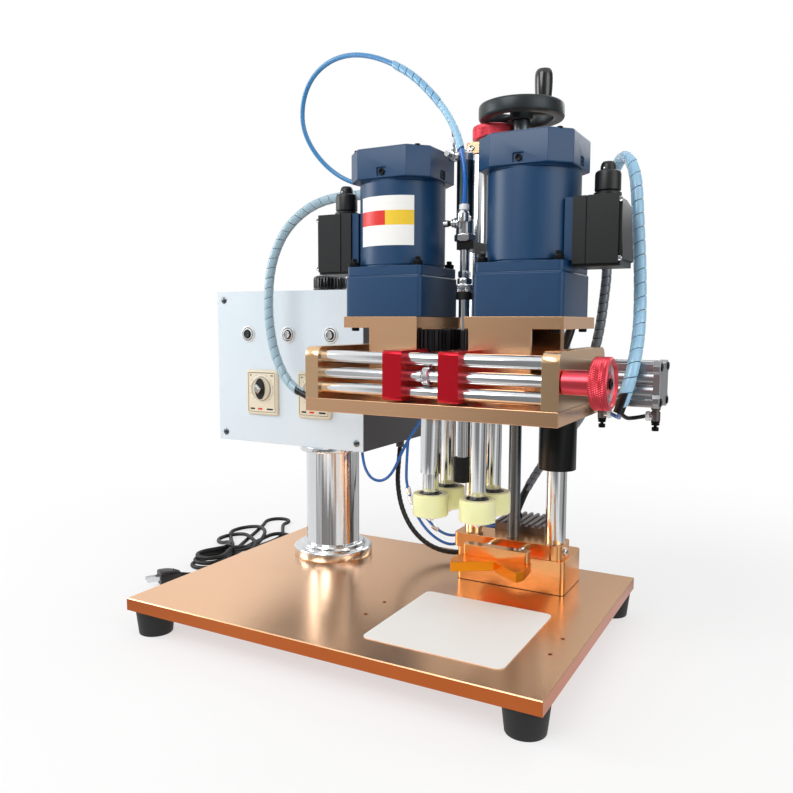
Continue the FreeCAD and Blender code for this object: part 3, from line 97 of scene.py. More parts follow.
class Finish:                      # the nodes of one material, or of the world
    def __init__(self, holder):
        holder.use_nodes = True
        self.holder = holder
        self.tree = holder.node_tree

    def node(self, kind, settings=None, sockets=None, take=None):
        made = self.tree.nodes.new("ShaderNode" + kind)
        for name, value in (settings or {}).items():
            if name == "stops":
                self.fillRamp(made.color_ramp, value)
            else:
                setattr(made, name, value)
        for name, value in (sockets or {}).items():
            self.feed(made, name, value)
        return Wire(self, self.find(made.outputs, take) if take else made.outputs[0])

    def find(self, plugs, name):
        return next((plug for plug in plugs if plug.identifier == name), None) or plugs[name]

    def feed(self, node, name, value):
        plug = self.find(node.inputs, name)
        if isinstance(value, Wire):
            self.tree.links.new(value.plug, plug)
        else:
            plug.default_value = value

    def fillRamp(self, ramp, stops):
        while len(ramp.elements) < len(stops):
            ramp.elements.new(0.5)
        for element, (place, value) in zip(ramp.elements, stops):
            element.position = place
            element.color = value if isinstance(value, tuple) else (value, value, value, 1)

    def rays(self):
        return {name: self.node("LightPath", take=name) for name in
                ("Is Camera Ray", "Is Glossy Ray", "Is Transmission Ray")}

    def blend(self, share, first, second):
        return self.node("Mix", {"data_type": "RGBA"}, {"Factor_Float": share, "A_Color": first, "B_Color": second},
                         "Result_Color")


def tint(code):
    # a written colour, as Blender's linear values
    parts = [int(code[i:i + 2], 16) / 255 for i in (1, 3, 5)]
    return tuple(p / 12.92 if p <= 0.04045 else ((p + 0.055) / 1.055) ** 2.4 for p in parts) + (1,)


# Lamps, world and floor. Azimuths are in degrees from the X axis, as seen from above.
studio = {"floor": -0.045, "reach": 1.5, "ambient": 0.6, "soft": 0.62, "clear": 0.9, "near": 0.45, "far": 1.3,
          "ceiling": (0.46, 0.66), "middle": (-0.13, 0.07, -0.045), "ring": (0.36, 0.46),
          "lamps": [("key", (-0.5, -1.6, 1.5), 1.2, 17), ("fill", (1.7, -0.4, 1.0), 1.2, 7),
                    ("left", (-1.8, -0.6, 0.9), 0.9, 9), ("back", (0.2, 1.8, 1.3), 1.0, 6)],
          "bands": [(0.0, 0.85), (0.12, 0.85), (0.145, 0.36), (0.172, 0.6), (0.195, 0.2), (0.27, 0.26), (0.316, 0.17),
                    (0.355, 0.5), (0.39, 0.92), (0.42, 0.9), (0.437, 0.41), (0.52, 0.44), (0.548, 0.24), (0.58, 0.05),
                    (0.61, 0.2), (0.64, 0.5), (0.672, 0.38), (0.70, 0.6), (0.73, 0.3), (0.775, 0.42), (0.82, 0.48),
                    (0.86, 1.0), (1.0, 0.85)]}


def lightStudio():
    for name, place, size, watts in studio["lamps"]:
        lamp = bpy.data.objects.new(name, bpy.data.lights.new(name, "AREA"))
        lamp.data.shape = "DISK"
        lamp.data.size = size
        lamp.data.energy = watts
        lamp.location = place
        lamp.rotation_euler = (Vector((-0.1, 0.05, 0.25)) - Vector(place)).to_track_quat("-Z", "Y").to_euler()
        scene.collection.objects.link(lamp)

    sky = Finish(bpy.data.worlds.new("studio"))
    scene.world = sky.holder
    sky.tree.nodes.clear()
    ray = sky.rays()
    way = sky.node("TexCoord", take="Generated")
    x, y, z = (sky.node("SeparateXYZ", None, {"Vector": way}, axis) for axis in "XYZ")
    around = sky.node("Math", {"operation": "ARCTAN2"}, {"Value": y, "Value_001": x}) * (0.5 / math.pi) + 0.5
    bands = sky.node("ValToRGB", {"stops": studio["bands"]}, {"Fac": around}, "Color")
    low, high = studio["ceiling"]
    above = sky.node("MapRange", {"interpolation_type": "SMOOTHSTEP"},
                     {"Value": z, "From Min": low, "From Max": high, "To Min": 0.0, "To Max": 1.0}, "Result")
    bands = sky.blend(above, bands, (1, 1, 1, 1))
    plain = sky.node("Background", None, {"Color": (1, 1, 1, 1), "Strength": studio["ambient"]})
    seen = sky.node("Background", None, {"Color": (1, 1, 1, 1), "Strength": 1.0})
    mirror = sky.node("Background", None, {"Color": bands, "Strength": 1.0})
    first = sky.node("MixShader", None, {"Fac": ray["Is Camera Ray"] + ray["Is Transmission Ray"], "Shader": plain,
                                         "Shader_001": seen})
    whole = sky.node("MixShader", None, {"Fac": ray["Is Glossy Ray"], "Shader": first, "Shader_001": mirror})
    out = sky.tree.nodes.new("ShaderNodeOutputWorld")
    sky.feed(out, "Surface", whole)

    ground = Finish(bpy.data.materials.new("floor"))
    ground.tree.nodes.clear()
    ray = ground.rays()
    reach = ground.node("VectorMath", {"operation": "LENGTH"}, {"Vector": ground.node("TexCoord", take="Object")},
                        "Value")
    fade = ground.node("MapRange", {"interpolation_type": "SMOOTHSTEP"},
                       {"Value": reach, "From Min": studio["near"], "From Max": studio["far"],
                        "To Min": studio["soft"], "To Max": 1.0}, "Result")
    share = (ray["Is Camera Ray"] + ray["Is Glossy Ray"] + ray["Is Transmission Ray"]) * fade
    matt = ground.node("BsdfDiffuse", None, {"Color": (studio["clear"],) * 3 + (1,)})
    glow = ground.node("Emission", None, {"Color": (1, 1, 1, 1), "Strength": 1.0})
    whole = ground.node("MixShader", None, {"Fac": share, "Shader": matt, "Shader_001": glow})
    # outside the ring around the base plate, a reflected ray passes through to the bands of the world
    off = ground.node("VectorMath", {"operation": "DISTANCE"}, {"Vector": ground.node("TexCoord", take="Object"),
                                                                "Vector_001": studio["middle"]}, "Value")
    inner, outer = studio["ring"]
    past = ground.node("MapRange", None, {"Value": off, "From Min": inner, "From Max": outer, "To Min": 0.0,
                                          "To Max": 1.0}, "Result") * ray["Is Glossy Ray"]
    clear = ground.node("BsdfTransparent", None, {"Color": (1, 1, 1, 1)})
    out = ground.tree.nodes.new("ShaderNodeOutputMaterial")
    ground.feed(out, "Surface", ground.node("MixShader", None, {"Fac": past, "Shader": whole, "Shader_001": clear}))
    mesh = bpy.data.meshes.new("floor")
    around = [2 * math.pi * i / 96 for i in range(96)]
    edge = [(studio["reach"] * math.cos(a), studio["reach"] * math.sin(a), studio["floor"]) for a in around]
    mesh.from_pydata(edge, [], [tuple(range(96))])
    mesh.materials.append(ground.holder)
    floor = bpy.data.objects.new("floor", mesh)
    scene.collection.objects.link(floor)


lightStudio()
print("studio lit")


# Finishes. Each has a light and a dark tone, its roughness, and the grain: how many ripples a metre along X, Y and Z.
def makeFinish(name, light, dark, rough, metal=0.0, swing=0.06, grain=(400, 400, 400), bump=0.02, patch=14,
               share=0.6, extra=None):
    finish = Finish(bpy.data.materials.new(name))
    shader = finish.tree.nodes["Principled BSDF"]
    place = finish.node("TexCoord", take="Object")
    spread = finish.node("Mapping", None, {"Vector": place, "Scale": grain})
    fine = finish.node("TexNoise", None, {"Vector": spread, "Scale": 1.0, "Detail": 4.0}, "Fac")
    wide = finish.node("TexNoise", None, {"Vector": place, "Scale": patch, "Detail": 2.0}, "Fac")
    mottle = fine * share + wide * (1 - share)
    finish.feed(shader, "Base Color", finish.blend(mottle, tint(light), tint(dark)))
    finish.feed(shader, "Roughness", rough + (mottle - 0.5) * swing)
    finish.feed(shader, "Normal", finish.node("Bump", None, {"Height": fine, "Strength": 1.0,
                                                             "Distance": bump * 0.001}, "Normal"))
    finish.feed(shader, "Metallic", metal)
    for socket, value in (extra or {}).items():
        finish.feed(shader, socket, value)
    return finish.holder


brushX, brushZ, turnedX, turnedZ = (12, 1500, 1500), (1500, 1500, 12), (1800, 40, 40), (40, 40, 1800)
grainFine, grainEven, grainSoft, grainWide = (900,) * 3, (700,) * 3, (500,) * 3, (300,) * 3
coat = {"Coat Weight": 0.6, "Coat Roughness": 0.12}
finishes = {
    "copper": makeFinish("copperAnodised", "#F8CDA4", "#EDB68B", 0.26, 1.0, 0.10, brushX, 0.008, 9),
    "copperPlate": makeFinish("copperPlate", "#F8CCA2", "#EEB88E", 0.24, 1.0, 0.10, brushX, 0.006, 6),
    "copperDeep": makeFinish("copperDeep", "#FFC488", "#F7AF6E", 0.22, 1.0, 0.10, brushZ, 0.008, 9),
    "tan": makeFinish("tanAnodised", "#F0CDA4", "#E4BA8F", 0.26, 1.0, 0.10, brushX, 0.008, 9),
    "orange": makeFinish("orangeAnodised", "#FFA52C", "#F58E14", 0.26, 1.0, 0.08, brushX, 0.01, 20),
    "pinkFace": makeFinish("turnedFace", "#F2C9CE", "#E2A6AE", 0.16, 1.0, 0.08, grainFine, 0.006, 30),
    "redSoft": makeFinish("redSoft", "#EE5A66", "#D8404E", 0.3, 0.85, 0.08, grainFine, 0.008, 20),
    "red": makeFinish("redAnodised", "#E01E30", "#B80F22", 0.24, 0.75, 0.08, grainFine, 0.008, 20),
    "chrome": makeFinish("polishedColumn", "#F2F3F4", "#D9DBDD", 0.12, 1.0, 0.06, turnedZ, 0.003, 9),
    "rod": makeFinish("polishedRod", "#F1F2F3", "#D3D6D9", 0.14, 1.0, 0.08, turnedZ, 0.003, 9),
    "railSteel": makeFinish("railSteel", "#F1F2F3", "#D3D6D9", 0.15, 1.0, 0.08, turnedX, 0.003, 9),
    "screwSteel": makeFinish("screwSteel", "#7A8084", "#5C6266", 0.30, 1.0, 0.14, grainEven, 0.02, 30),
    # green for the block screw's socket: a painted reflection
    "socketGreenReflection": makeFinish("socketGreenReflection", "#2F6B52", "#1F4A38", 0.3, 0.6, 0.1, grainEven, 0.01, 30),
    "darkSteel": makeFinish("darkSteel", "#242628", "#151719", 0.34, 0.9, 0.12, grainEven, 0.015, 40),
    "blackAnodised": makeFinish("blackAnodised", "#0B0D10", "#060708", 0.32, 0.5, 0.1, grainFine, 0.01, 20),
    "nylon": makeFinish("gearNylon", "#0D0E0F", "#080809", 0.30, 0.0, 0.1, grainSoft, 0.01, 60),
    "urethane": makeFinish("wheelUrethane", "#F8F9C4", "#F0F3B2", 0.30, 0.0, 0.08, (240, 240, 240), 0.01, 60, 0.5,
                           {"Subsurface Weight": 0.7, "Subsurface Scale": 0.012,
                            "Subsurface Radius": (1.0, 0.95, 0.4), "Coat Weight": 0.3, "Coat Roughness": 0.1}),
    "rubber": makeFinish("blackRubber", "#0E0F10", "#08090A", 0.58, 0.0, 0.12, grainEven, 0.04, 40),
    "navy": makeFinish("motorPaint", "#083F69", "#06365A", 0.40, 0.0, 0.06, (650, 650, 650), 0.014, 22, 0.5,
                       {"Coat Weight": 0.1, "Coat Roughness": 0.2}),
    "glossy": makeFinish("glossyPlastic", "#1A1C1E", "#111315", 0.2, 0.0, 0.06, grainFine, 0.006, 30, 0.5, coat),
    "plastic": makeFinish("blackPlastic", "#0B0C0E", "#060708", 0.38, 0.0, 0.1, grainFine, 0.02, 30),
    "casting": makeFinish("blackCasting", "#3A4042", "#2C3234", 0.36, 0.5, 0.14, grainSoft, 0.04, 30),
    "clampGrey": makeFinish("clampGrey", "#8C8583", "#6C6462", 0.34, 0.9, 0.12, (1400, 12, 1400), 0.01, 20),
    "grooved": makeFinish("groovedAluminium", "#B9BBBD", "#9A9C9F", 0.34, 1.0, 0.12, (12, 1400, 1400), 0.01, 12),
    "stainless": makeFinish("stainlessTube", "#6E7C82", "#5C6A70", 0.16, 1.0, 0.08, turnedZ, 0.003, 9),
    "housing": makeFinish("terminalHousing", "#111416", "#0B0D0F", 0.40, 0.0, 0.08, grainFine, 0.012, 30),
    "boxGrey": makeFinish("boxPaint", "#4A494D", "#403F43", 0.46, 0.0, 0.08, (600, 600, 600), 0.025, 14),
    "panel": makeFinish("panelSheet", "#E2ECF3", "#D3DFE8", 0.24, 0.0, 0.06, (30, 30, 30), 0.006, 6, 0.3, coat),
    "ringMetal": makeFinish("ringMetal", "#F6F7F8", "#E6E8EA", 0.3, 0.4, 0.06, grainFine, 0.006, 30),
    "bright": makeFinish("brightMetal", "#ECEDEE", "#C9CCCF", 0.16, 1.0, 0.08, grainFine, 0.006, 30),
    "cream": makeFinish("timerCream", "#E9DFC9", "#DDD2BA", 0.40, 0.0, 0.08, grainFine, 0.01, 40),
    "timerRing": makeFinish("timerRing", "#F6F1E4", "#EAE3D2", 0.3, 0.0, 0.06, grainFine, 0.006, 40),
    "dial": makeFinish("dialFace", "#D9D0BC", "#CBC1AB", 0.42, 0.0, 0.1, grainFine, 0.012, 60),
    "matWhite": makeFinish("matWhite", "#FAFAF8", "#F1F1EF", 0.46, 0.0, 0.06, grainSoft, 0.012, 14),
    "collar": makeFinish("collarWhite", "#F1F3F4", "#E2E5E8", 0.34, 0.0, 0.06, grainFine, 0.008, 60),
    "tubeBlue": makeFinish("tubeBlue", "#1272CC", "#0C5CB0", 0.22, 0.0, 0.06, (400, 400, 400), 0.006, 40, 0.5,
                           {"Coat Weight": 0.5, "Coat Roughness": 0.08}),
    "tubeBlack": makeFinish("tubeBlack", "#0D0F12", "#08090B", 0.30, 0.0, 0.08, (400, 400, 400), 0.008, 40),
    "wrapDeep": makeFinish("wrapDeep", "#7FB4D4", "#64A0C8", 0.28, 0.0, 0.08, grainWide, 0.01, 30, 0.5, coat),
    "loopBlue": makeFinish("loopBlue", "#3F8CC4", "#2F78B0", 0.28, 0.0, 0.08, grainWide, 0.01, 30, 0.5, coat),
    "wrapGrey": makeFinish("wrapGrey", "#A9C3CF", "#8FB0C2", 0.30, 0.0, 0.08, grainWide, 0.01, 30, 0.5, coat),
    "wrapBlue": makeFinish("wrapBlue", "#A8D0E8", "#90C0DE", 0.28, 0.0, 0.08, grainWide, 0.01, 30, 0.5,
                           {"Subsurface Weight": 0.35, "Subsurface Scale": 0.004, "Coat Weight": 0.4,
                            "Coat Roughness": 0.1}),
    "wrapDark": makeFinish("wrapDark", "#727A82", "#5C646C", 0.32, 0.0, 0.08, grainWide, 0.01, 30, 0.5, coat),
    "lead": makeFinish("leadBlack", "#090A0A", "#050505", 0.46, 0.0, 0.1, grainSoft, 0.01, 30),
    "labelWhite": makeFinish("labelWhite", "#F6F6F2", "#ECECE8", 0.34, 0.0, 0.05, (400, 400, 400), 0.003, 30),
    "labelRed": makeFinish("labelRed", "#E2332C", "#D42822", 0.34, 0.0, 0.05, (400, 400, 400), 0.003, 30),
    "labelYellow": makeFinish("labelYellow", "#F3CF3A", "#EAC22C", 0.34, 0.0, 0.05, (400, 400, 400), 0.003, 30)}
print("finishes made:", len(finishes))


# Shapes are drawn in millimetres, in the frame of the whole machine.
sides = {"left": -1, "right": 1}
corners = [(i, j) for i in (-1, 1) for j in (-1, 1)]
crease = math.radians(32)          # edges sharper than this are kept sharp and get a bevel
turns = {"z": (0, "X"), "-z": (180, "X"), "x": (90, "Y"), "-x": (-90, "Y"), "y": (-90, "X"), "-y": (90, "X")}


def at(x, y, z, along="z", spin=0.0):
    angle, axis = turns[along]
    return (Matrix.Translation((x, y, z)) @ Matrix.Rotation(math.radians(angle), 4, axis)
            @ Matrix.Rotation(math.radians(spin), 4, "Z"))


def circle(steps):
    return [2 * math.pi * i / steps for i in range(steps)]


def oval(wide, high, power, steps):
    # outline between an ellipse and a rectangle: the smaller the power, the squarer
    return [(wide * math.copysign(abs(math.cos(a)) ** power, math.cos(a)),
             high * math.copysign(abs(math.sin(a)) ** power, math.sin(a))) for a in circle(steps)]


def knurl(depth, count, lean):
    # crossed grooves round a knob, as what they add to the radius
    def groove(turn, high):
        return -depth * abs(math.cos(count * turn + high * lean)) * abs(math.cos(count * turn - high * lean))
    return groove


def rounded(halfX, halfY, corner, count=4):
    # outline of a rectangle with round corners
    outline = []
    for cx, cy, first in ((1, 1, 0), (-1, 1, 90), (-1, -1, 180), (1, -1, 270)):
        for k in range(count + 1):
            a = math.radians(first + 90 * k / count)
            outline.append((cx * (halfX - corner) + corner * math.cos(a),
                            cy * (halfY - corner) + corner * math.sin(a)))
    return outline


class Shape:
    def __init__(self):
        self.mesh = bmesh.new()
        self.coat = 0              # which of the piece's finishes the next faces take

    def face(self, corners):
        if len(set(corners)) > 2:
            made = self.mesh.faces.new(corners)
            made.material_index = self.coat

    def loft(self, rings, loop=False):
        rows = [[self.mesh.verts.new(point) for point in ring] for ring in rings]
        for low, high in zip(rows, rows[1:] + rows[:1] if loop else rows[1:]):
            count = max(len(low), len(high))
            for i in range(count):
                j = (i + 1) % count
                corners = [low[i % len(low)], low[j % len(low)], high[j % len(high)], high[i % len(high)]]
                self.face(list(dict.fromkeys(corners)))
        if not loop:
            for end in (rows[0][::-1], rows[-1]):
                if len(end) > 2:
                    self.face(end)
        return self

    def lathe(self, place, profile, steps=40, loop=False):
        # profile entries are radius, height and, if wanted, a number of sides or a function that adds to the radius
        rings = []
        for radius, high, *kind in profile:
            ring = []
            for step in range(steps if radius else 1):
                turn = 2 * math.pi * step / steps
                out = radius
                if kind and callable(kind[0]):
                    out += kind[0](turn, high)
                elif kind:
                    part = math.pi / kind[0]
                    out *= math.cos(part) / math.cos(turn % (2 * part) - part)
                ring.append(place @ Vector((out * math.cos(turn), out * math.sin(turn), high)))
            rings.append(ring)
        return self.loft(rings, loop)

    def rod(self, place, radius, low, high, steps):
        return self.lathe(place, [(0, low), (radius, low), (radius, high), (0, high)], steps)

    def prism(self, place, outline, low, high, inset=0.0):
        # an outline in the local XY plane, carried from one height to another, with a chamfer at the far end
        middle = sum((Vector(p) for p in outline), Vector((0, 0))) / len(outline)
        rings = [(1.0, low), (1.0, high)]
        if inset:
            reach = max((Vector(p) - middle).length for p in outline)
            rings = [(1.0, low), (1.0, high - inset), (1.0 - inset / reach, high)]
        return self.loft([[place @ Vector((*(middle + (Vector(p) - middle) * share), level)) for p in outline]
                          for share, level in rings])

    def box(self, low, high):
        return self.prism(Matrix(), [(low[0], low[1]), (high[0], low[1]), (high[0], high[1]), (low[0], high[1])],
                          low[2], high[2])

    def screw(self, place, radius, high, sides=6):
        # cap screw with a hexagon socket
        return self.lathe(place, [(0, 0), (radius, 0), (radius, high * 0.8), (radius * 0.88, high),
                                  (radius * 0.6, high), (radius * 0.54, high * 0.92, sides),
                                  (radius * 0.54, high * 0.4, sides), (0, high * 0.4)], 24)

    def nut(self, place, radius, high, bore):
        return self.lathe(place, [(bore, 0), (radius * 0.86, 0), (radius, high * 0.15, 6), (radius, high * 0.85, 6),
                                  (radius * 0.86, high), (bore, high)], 24, loop=True)

    def wind(self, line, start, end, inner, outer, width, pitch, lean=1):
        # a flat strip wound round a line
        rings = []
        count = int((end - start) / pitch * 20)
        for step in range(count + 1):
            centre = start + (end - start) * step / count
            turn = lean * 2 * math.pi * (centre - start) / pitch
            ring = []
            for shift, radius in ((-0.5, inner), (0.5, inner), (0.5, outer - 0.25), (0.36, outer), (-0.36, outer),
                                  (-0.5, outer - 0.25)):
                spot = line.at(centre + shift * width)
                ring.append(spot @ Vector((radius * math.cos(turn), radius * math.sin(turn), 0)))
            rings.append(ring)
        return self.loft(rings)


class Line:                        # the drawn points of a spline, in millimetres, with a frame carried along it
    def __init__(self, route):
        guide = cordCurve("guide", route, 0)
        drawn = bpy.data.meshes.new_from_object(guide)
        self.points = [vertex.co * 1000 for vertex in drawn.vertices]
        bpy.data.objects.remove(guide)
        bpy.data.meshes.remove(drawn)
        self.reach = [0.0]
        for first, second in zip(self.points, self.points[1:]):
            self.reach.append(self.reach[-1] + (second - first).length)
        self.long = self.reach[-1]
        side = (self.points[1] - self.points[0]).orthogonal()
        self.sides = []
        for i in range(len(self.points)):
            way = self.way(i)
            side = (side - way * side.dot(way)).normalized()
            self.sides.append(side.copy())

    def way(self, i):
        return (self.points[min(i + 1, len(self.points) - 1)] - self.points[max(i - 1, 0)]).normalized()

    def at(self, distance):
        i = 0
        low, high = 0, len(self.reach) - 2
        while low < high:
            i = (low + high + 1) // 2
            low, high = (i, high) if self.reach[i] <= distance else (low, i - 1)
        i = low
        part = (distance - self.reach[i]) / (self.reach[i + 1] - self.reach[i])
        spot = self.points[i].lerp(self.points[i + 1], part)
        way = self.way(i).lerp(self.way(i + 1), min(max(part, 0), 1)).normalized()
        side = self.sides[i].lerp(self.sides[i + 1], min(max(part, 0), 1))
        side = (side - way * side.dot(way)).normalized()
        other = way.cross(side)
        return Matrix(((side.x, other.x, way.x, spot.x), (side.y, other.y, way.y, spot.y),
                       (side.z, other.z, way.z, spot.z), (0, 0, 0, 1)))


def build(name, shape, coats=()):
    # the drawn shape as an object, in metres
    mesh = bpy.data.meshes.new(name)
    bmesh.ops.recalc_face_normals(shape.mesh, faces=shape.mesh.faces)
    bmesh.ops.scale(shape.mesh, vec=(0.001, 0.001, 0.001), verts=shape.mesh.verts)
    for face in shape.mesh.faces:
        face.smooth = True
    shape.mesh.to_mesh(mesh)
    shape.mesh.free()
    mesh.set_sharp_from_angle(angle=crease)
    for finish in coats:
        mesh.materials.append(finishes[finish])
    piece = bpy.data.objects.new(name, mesh)
    scene.collection.objects.link(piece)
    return piece


def carve(piece, shape):
    # cuts one shape out of a piece for good
    cutter = build("cutter", shape)
    cut = piece.modifiers.new("cut", "BOOLEAN")
    cut.operation = "DIFFERENCE"
    cut.solver = "EXACT"
    cut.object = cutter
    bpy.context.view_layer.update()
    mesh = bpy.data.meshes.new_from_object(piece.evaluated_get(bpy.context.evaluated_depsgraph_get()))
    piece.modifiers.clear()
    piece.data = mesh
    mesh.set_sharp_from_angle(angle=crease)
    bpy.data.objects.remove(cutter)


def place(name, shape, body, slot, coats, replaces=(), bevel=0.0, cut=None):
    piece = build(name, shape, coats)
    if cut:
        carve(piece, cut)
    if bevel:
        softenEdges(piece, bevel)
    if len(body) == 2:             # two points between frame and carriage: the piece is attached to no body, and its transform is only baked
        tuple(body[0])
        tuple(body[1])
        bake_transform(piece)
    else:
        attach(piece, body)
    if replaces:
        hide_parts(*replaces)
    return piece


def softenEdges(piece, width):
    bevel = piece.modifiers.new("edges", "BEVEL")
    bevel.width = width * 0.001
    bevel.segments = 2
    bevel.limit_method = "ANGLE"
    bevel.angle_limit = crease
    bevel.harden_normals = True


def dress(node, finish, bevel=0.0):
    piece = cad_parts[node]
    for socket in piece.material_slots:
        socket.material = finishes[finish]
    if bevel:
        weld = piece.modifiers.new("weld", "WELD")
        weld.merge_threshold = 0.00001
        flat = piece.modifiers.new("flat", "DECIMATE")
        flat.decimate_type = "DISSOLVE"
        flat.angle_limit = math.radians(0.3)
        softenEdges(piece, bevel)


def cordCurve(name, route, radius):
    data = bpy.data.curves.new(name, "CURVE")
    data.dimensions = "3D"
    spline = data.splines.new("NURBS")
    spline.points.add(len(route) - 1)
    for point, spot in zip(spline.points, route):
        point.co = (*spot, 1)
    spline.order_u = 3
    spline.use_endpoint_u = True
    data.resolution_u = 12
    data.bevel_depth = radius
    data.bevel_resolution = 6
    data.use_fill_caps = True
    piece = bpy.data.objects.new(name, data)
    scene.collection.objects.link(piece)
    return piece


def makeCord(name, route, radius, body, finish, replaces=()):
    piece = cordCurve(name, route, radius)
    piece.data.materials.append(finishes[finish])
    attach(piece, body)
    if replaces:
        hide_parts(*replaces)
    return piece


# Air lines. Routes are in metres, as in the part's source.
trunkRoute = [
    (-0.1988, 0.165, 0.221), (-0.178, 0.1653, 0.221), (-0.152, 0.1585, 0.2208), (-0.132, 0.14, 0.221),
    (-0.125, 0.116, 0.2215), (-0.133, 0.092, 0.2225), (-0.154, 0.0755, 0.224), (-0.182, 0.069, 0.2265),
    (-0.212, 0.0685, 0.2285), (-0.24, 0.068, 0.2325), (-0.263, 0.0675, 0.2405), (-0.2845, 0.068, 0.2545),
    (-0.301, 0.069, 0.279), (-0.3115, 0.07, 0.308), (-0.3165, 0.071, 0.338), (-0.3182, 0.073, 0.368),
    (-0.3172, 0.075, 0.398), (-0.3095, 0.077, 0.4265), (-0.2955, 0.079, 0.452), (-0.2735, 0.081, 0.4725),
    (-0.2465, 0.082, 0.486), (-0.2185, 0.083, 0.4915), (-0.192, 0.0838, 0.4922), (-0.1665, 0.0842, 0.492),
    (-0.1433, 0.084, 0.4895), (-0.1195, 0.084, 0.476), (-0.1045, 0.084, 0.452), (-0.1005, 0.084, 0.423),
    (-0.1013, 0.084, 0.391), (-0.1, 0.084, 0.359), (-0.1005, 0.084, 0.328), (-0.095, 0.0843, 0.301),
    (-0.078, 0.0845, 0.28), (-0.052, 0.0845, 0.271), (-0.022, 0.0843, 0.27), (0.008, 0.0845, 0.271),
    (0.038, 0.0855, 0.271), (0.063, 0.088, 0.281), (0.08, 0.093, 0.302), (0.087, 0.101, 0.328),
    (0.0895, 0.1095, 0.356), (0.091, 0.1175, 0.385), (0.0955, 0.125, 0.412), (0.1025, 0.132, 0.438),
    (0.1105, 0.1375, 0.462), (0.1165, 0.138, 0.486), (0.1245, 0.125, 0.5045), (0.1375, 0.102, 0.512),
    (0.151, 0.0795, 0.5045), (0.1595, 0.067, 0.484), (0.163, 0.061, 0.458), (0.1665, 0.054, 0.43),
    (0.1706, 0.0455, 0.398), (0.1738, 0.037, 0.366), (0.1765, 0.026, 0.336), (0.1782, 0.01, 0.313),
    (0.1781, -0.004, 0.2935), (0.1742, -0.011, 0.2705), (0.167, -0.012, 0.2485)]
branchLeft = [
    (0.1675, -0.011, 0.25), (0.166, -0.002, 0.243), (0.1615, 0.014, 0.241), (0.1505, 0.0295, 0.2425)]
branchRight = [
    (0.168, -0.011, 0.25), (0.1705, -0.002, 0.243), (0.175, 0.014, 0.241), (0.185, 0.0295, 0.2425)]
pressHoseRoute = [
    (0.0048, -0.014, 0.4552), (0.0067, -0.0155, 0.472), (0.0056, -0.0155, 0.491), (0.0006, -0.0125, 0.51),
    (-0.0095, -0.0045, 0.5318), (-0.0234, 0.0025, 0.5533), (-0.0433, 0.0095, 0.5761), (-0.0706, 0.0185, 0.6018),
    (-0.1012, 0.027, 0.6219), (-0.1334, 0.033, 0.6374), (-0.1669, 0.039, 0.6463), (-0.2012, 0.046, 0.646),
    (-0.231, 0.053, 0.6337), (-0.2498, 0.06, 0.6117), (-0.256, 0.066, 0.5833), (-0.2489, 0.073, 0.5568),
    (-0.2308, 0.08, 0.5321), (-0.2075, 0.086, 0.5143), (-0.182, 0.0905, 0.505), (-0.156, 0.093, 0.5025),
    (-0.133, 0.092, 0.497), (-0.1165, 0.088, 0.48)]
portTubeRoute = [
    (-0.014, 0, 0.519), (-0.0145, 0.0005, 0.531), (-0.019, 0.0025, 0.5435), (-0.027, 0.0048, 0.556)]
dropRoute = [
    (0.109, 0.1342, 0.443), (0.1135, 0.1345, 0.422), (0.1175, 0.133, 0.3937), (0.1158, 0.128, 0.3599),
    (0.1137, 0.124, 0.3317), (0.1098, 0.122, 0.3079), (0.1035, 0.126, 0.284), (0.0985, 0.138, 0.259),
    (0.089, 0.162, 0.236), (0.076, 0.19, 0.217), (0.059, 0.215, 0.199), (0.038, 0.232, 0.178),
    (0.018, 0.2385, 0.153), (0.002, 0.239, 0.127), (-0.011, 0.234, 0.102), (-0.017, 0.226, 0.0796)]
clampHoseRoute = [
    (-0.209, 0.243, 0.1485), (-0.2075, 0.236, 0.126), (-0.202, 0.222, 0.098), (-0.187, 0.207, 0.066),
    (-0.165, 0.2, 0.037), (-0.138, 0.202, 0.017), (-0.109, 0.212, 0.009), (-0.082, 0.225, 0.013),
    (-0.063, 0.235, 0.031), (-0.051, 0.234, 0.049), (-0.04, 0.231, 0.0574)]

boxTubeRoute = [
    (-0.2062, 0.1295, 0.1595), (-0.2055, 0.131, 0.146), (-0.203, 0.134, 0.132), (-0.197, 0.1385, 0.1205),
    (-0.187, 0.1445, 0.116), (-0.1765, 0.15, 0.1215), (-0.1685, 0.1545, 0.135), (-0.161, 0.159, 0.156),
    (-0.1486, 0.16, 0.1787), (-0.132, 0.16, 0.2017), (-0.121, 0.156, 0.226), (-0.1135, 0.147, 0.256),
    (-0.107, 0.133, 0.3), (-0.1035, 0.118, 0.345), (-0.1005, 0.104, 0.385), (-0.0998, 0.092, 0.412)]
sideTubeRoute = [
    (-0.1515, 0.16, 0.174), (-0.1535, 0.161, 0.153), (-0.1555, 0.163, 0.132), (-0.1565, 0.165, 0.1135),
    (-0.1515, 0.1685, 0.093), (-0.1445, 0.173, 0.067), (-0.126, 0.179, 0.0412), (-0.1, 0.186, 0.0275),
    (-0.083, 0.197, 0.0345), (-0.066, 0.205, 0.0505), (-0.051, 0.207, 0.0568), (-0.037, 0.207, 0.0574)]
upperTubeRoute = [
    (-0.1485, 0.1695, 0.086), (-0.131, 0.1725, 0.068), (-0.1165, 0.179, 0.05), (-0.099, 0.188, 0.0405),
    (-0.0835, 0.2035, 0.0445), (-0.067, 0.2165, 0.0545), (-0.052, 0.219, 0.0572), (-0.037, 0.219, 0.0574)]

# Pairs of points given for the lines that reach from the frame to the carriage; this script bends none of the lines
pulls = {"top": ((-0.3, 0.08, 0.26), (-0.3, 0.08, 0.47)), "drop": ((-0.017, 0.226, 0.095), (0.109, 0.134, 0.43)),
         "box": ((-0.13, 0.16, 0.205), (-0.0998, 0.092, 0.4))}

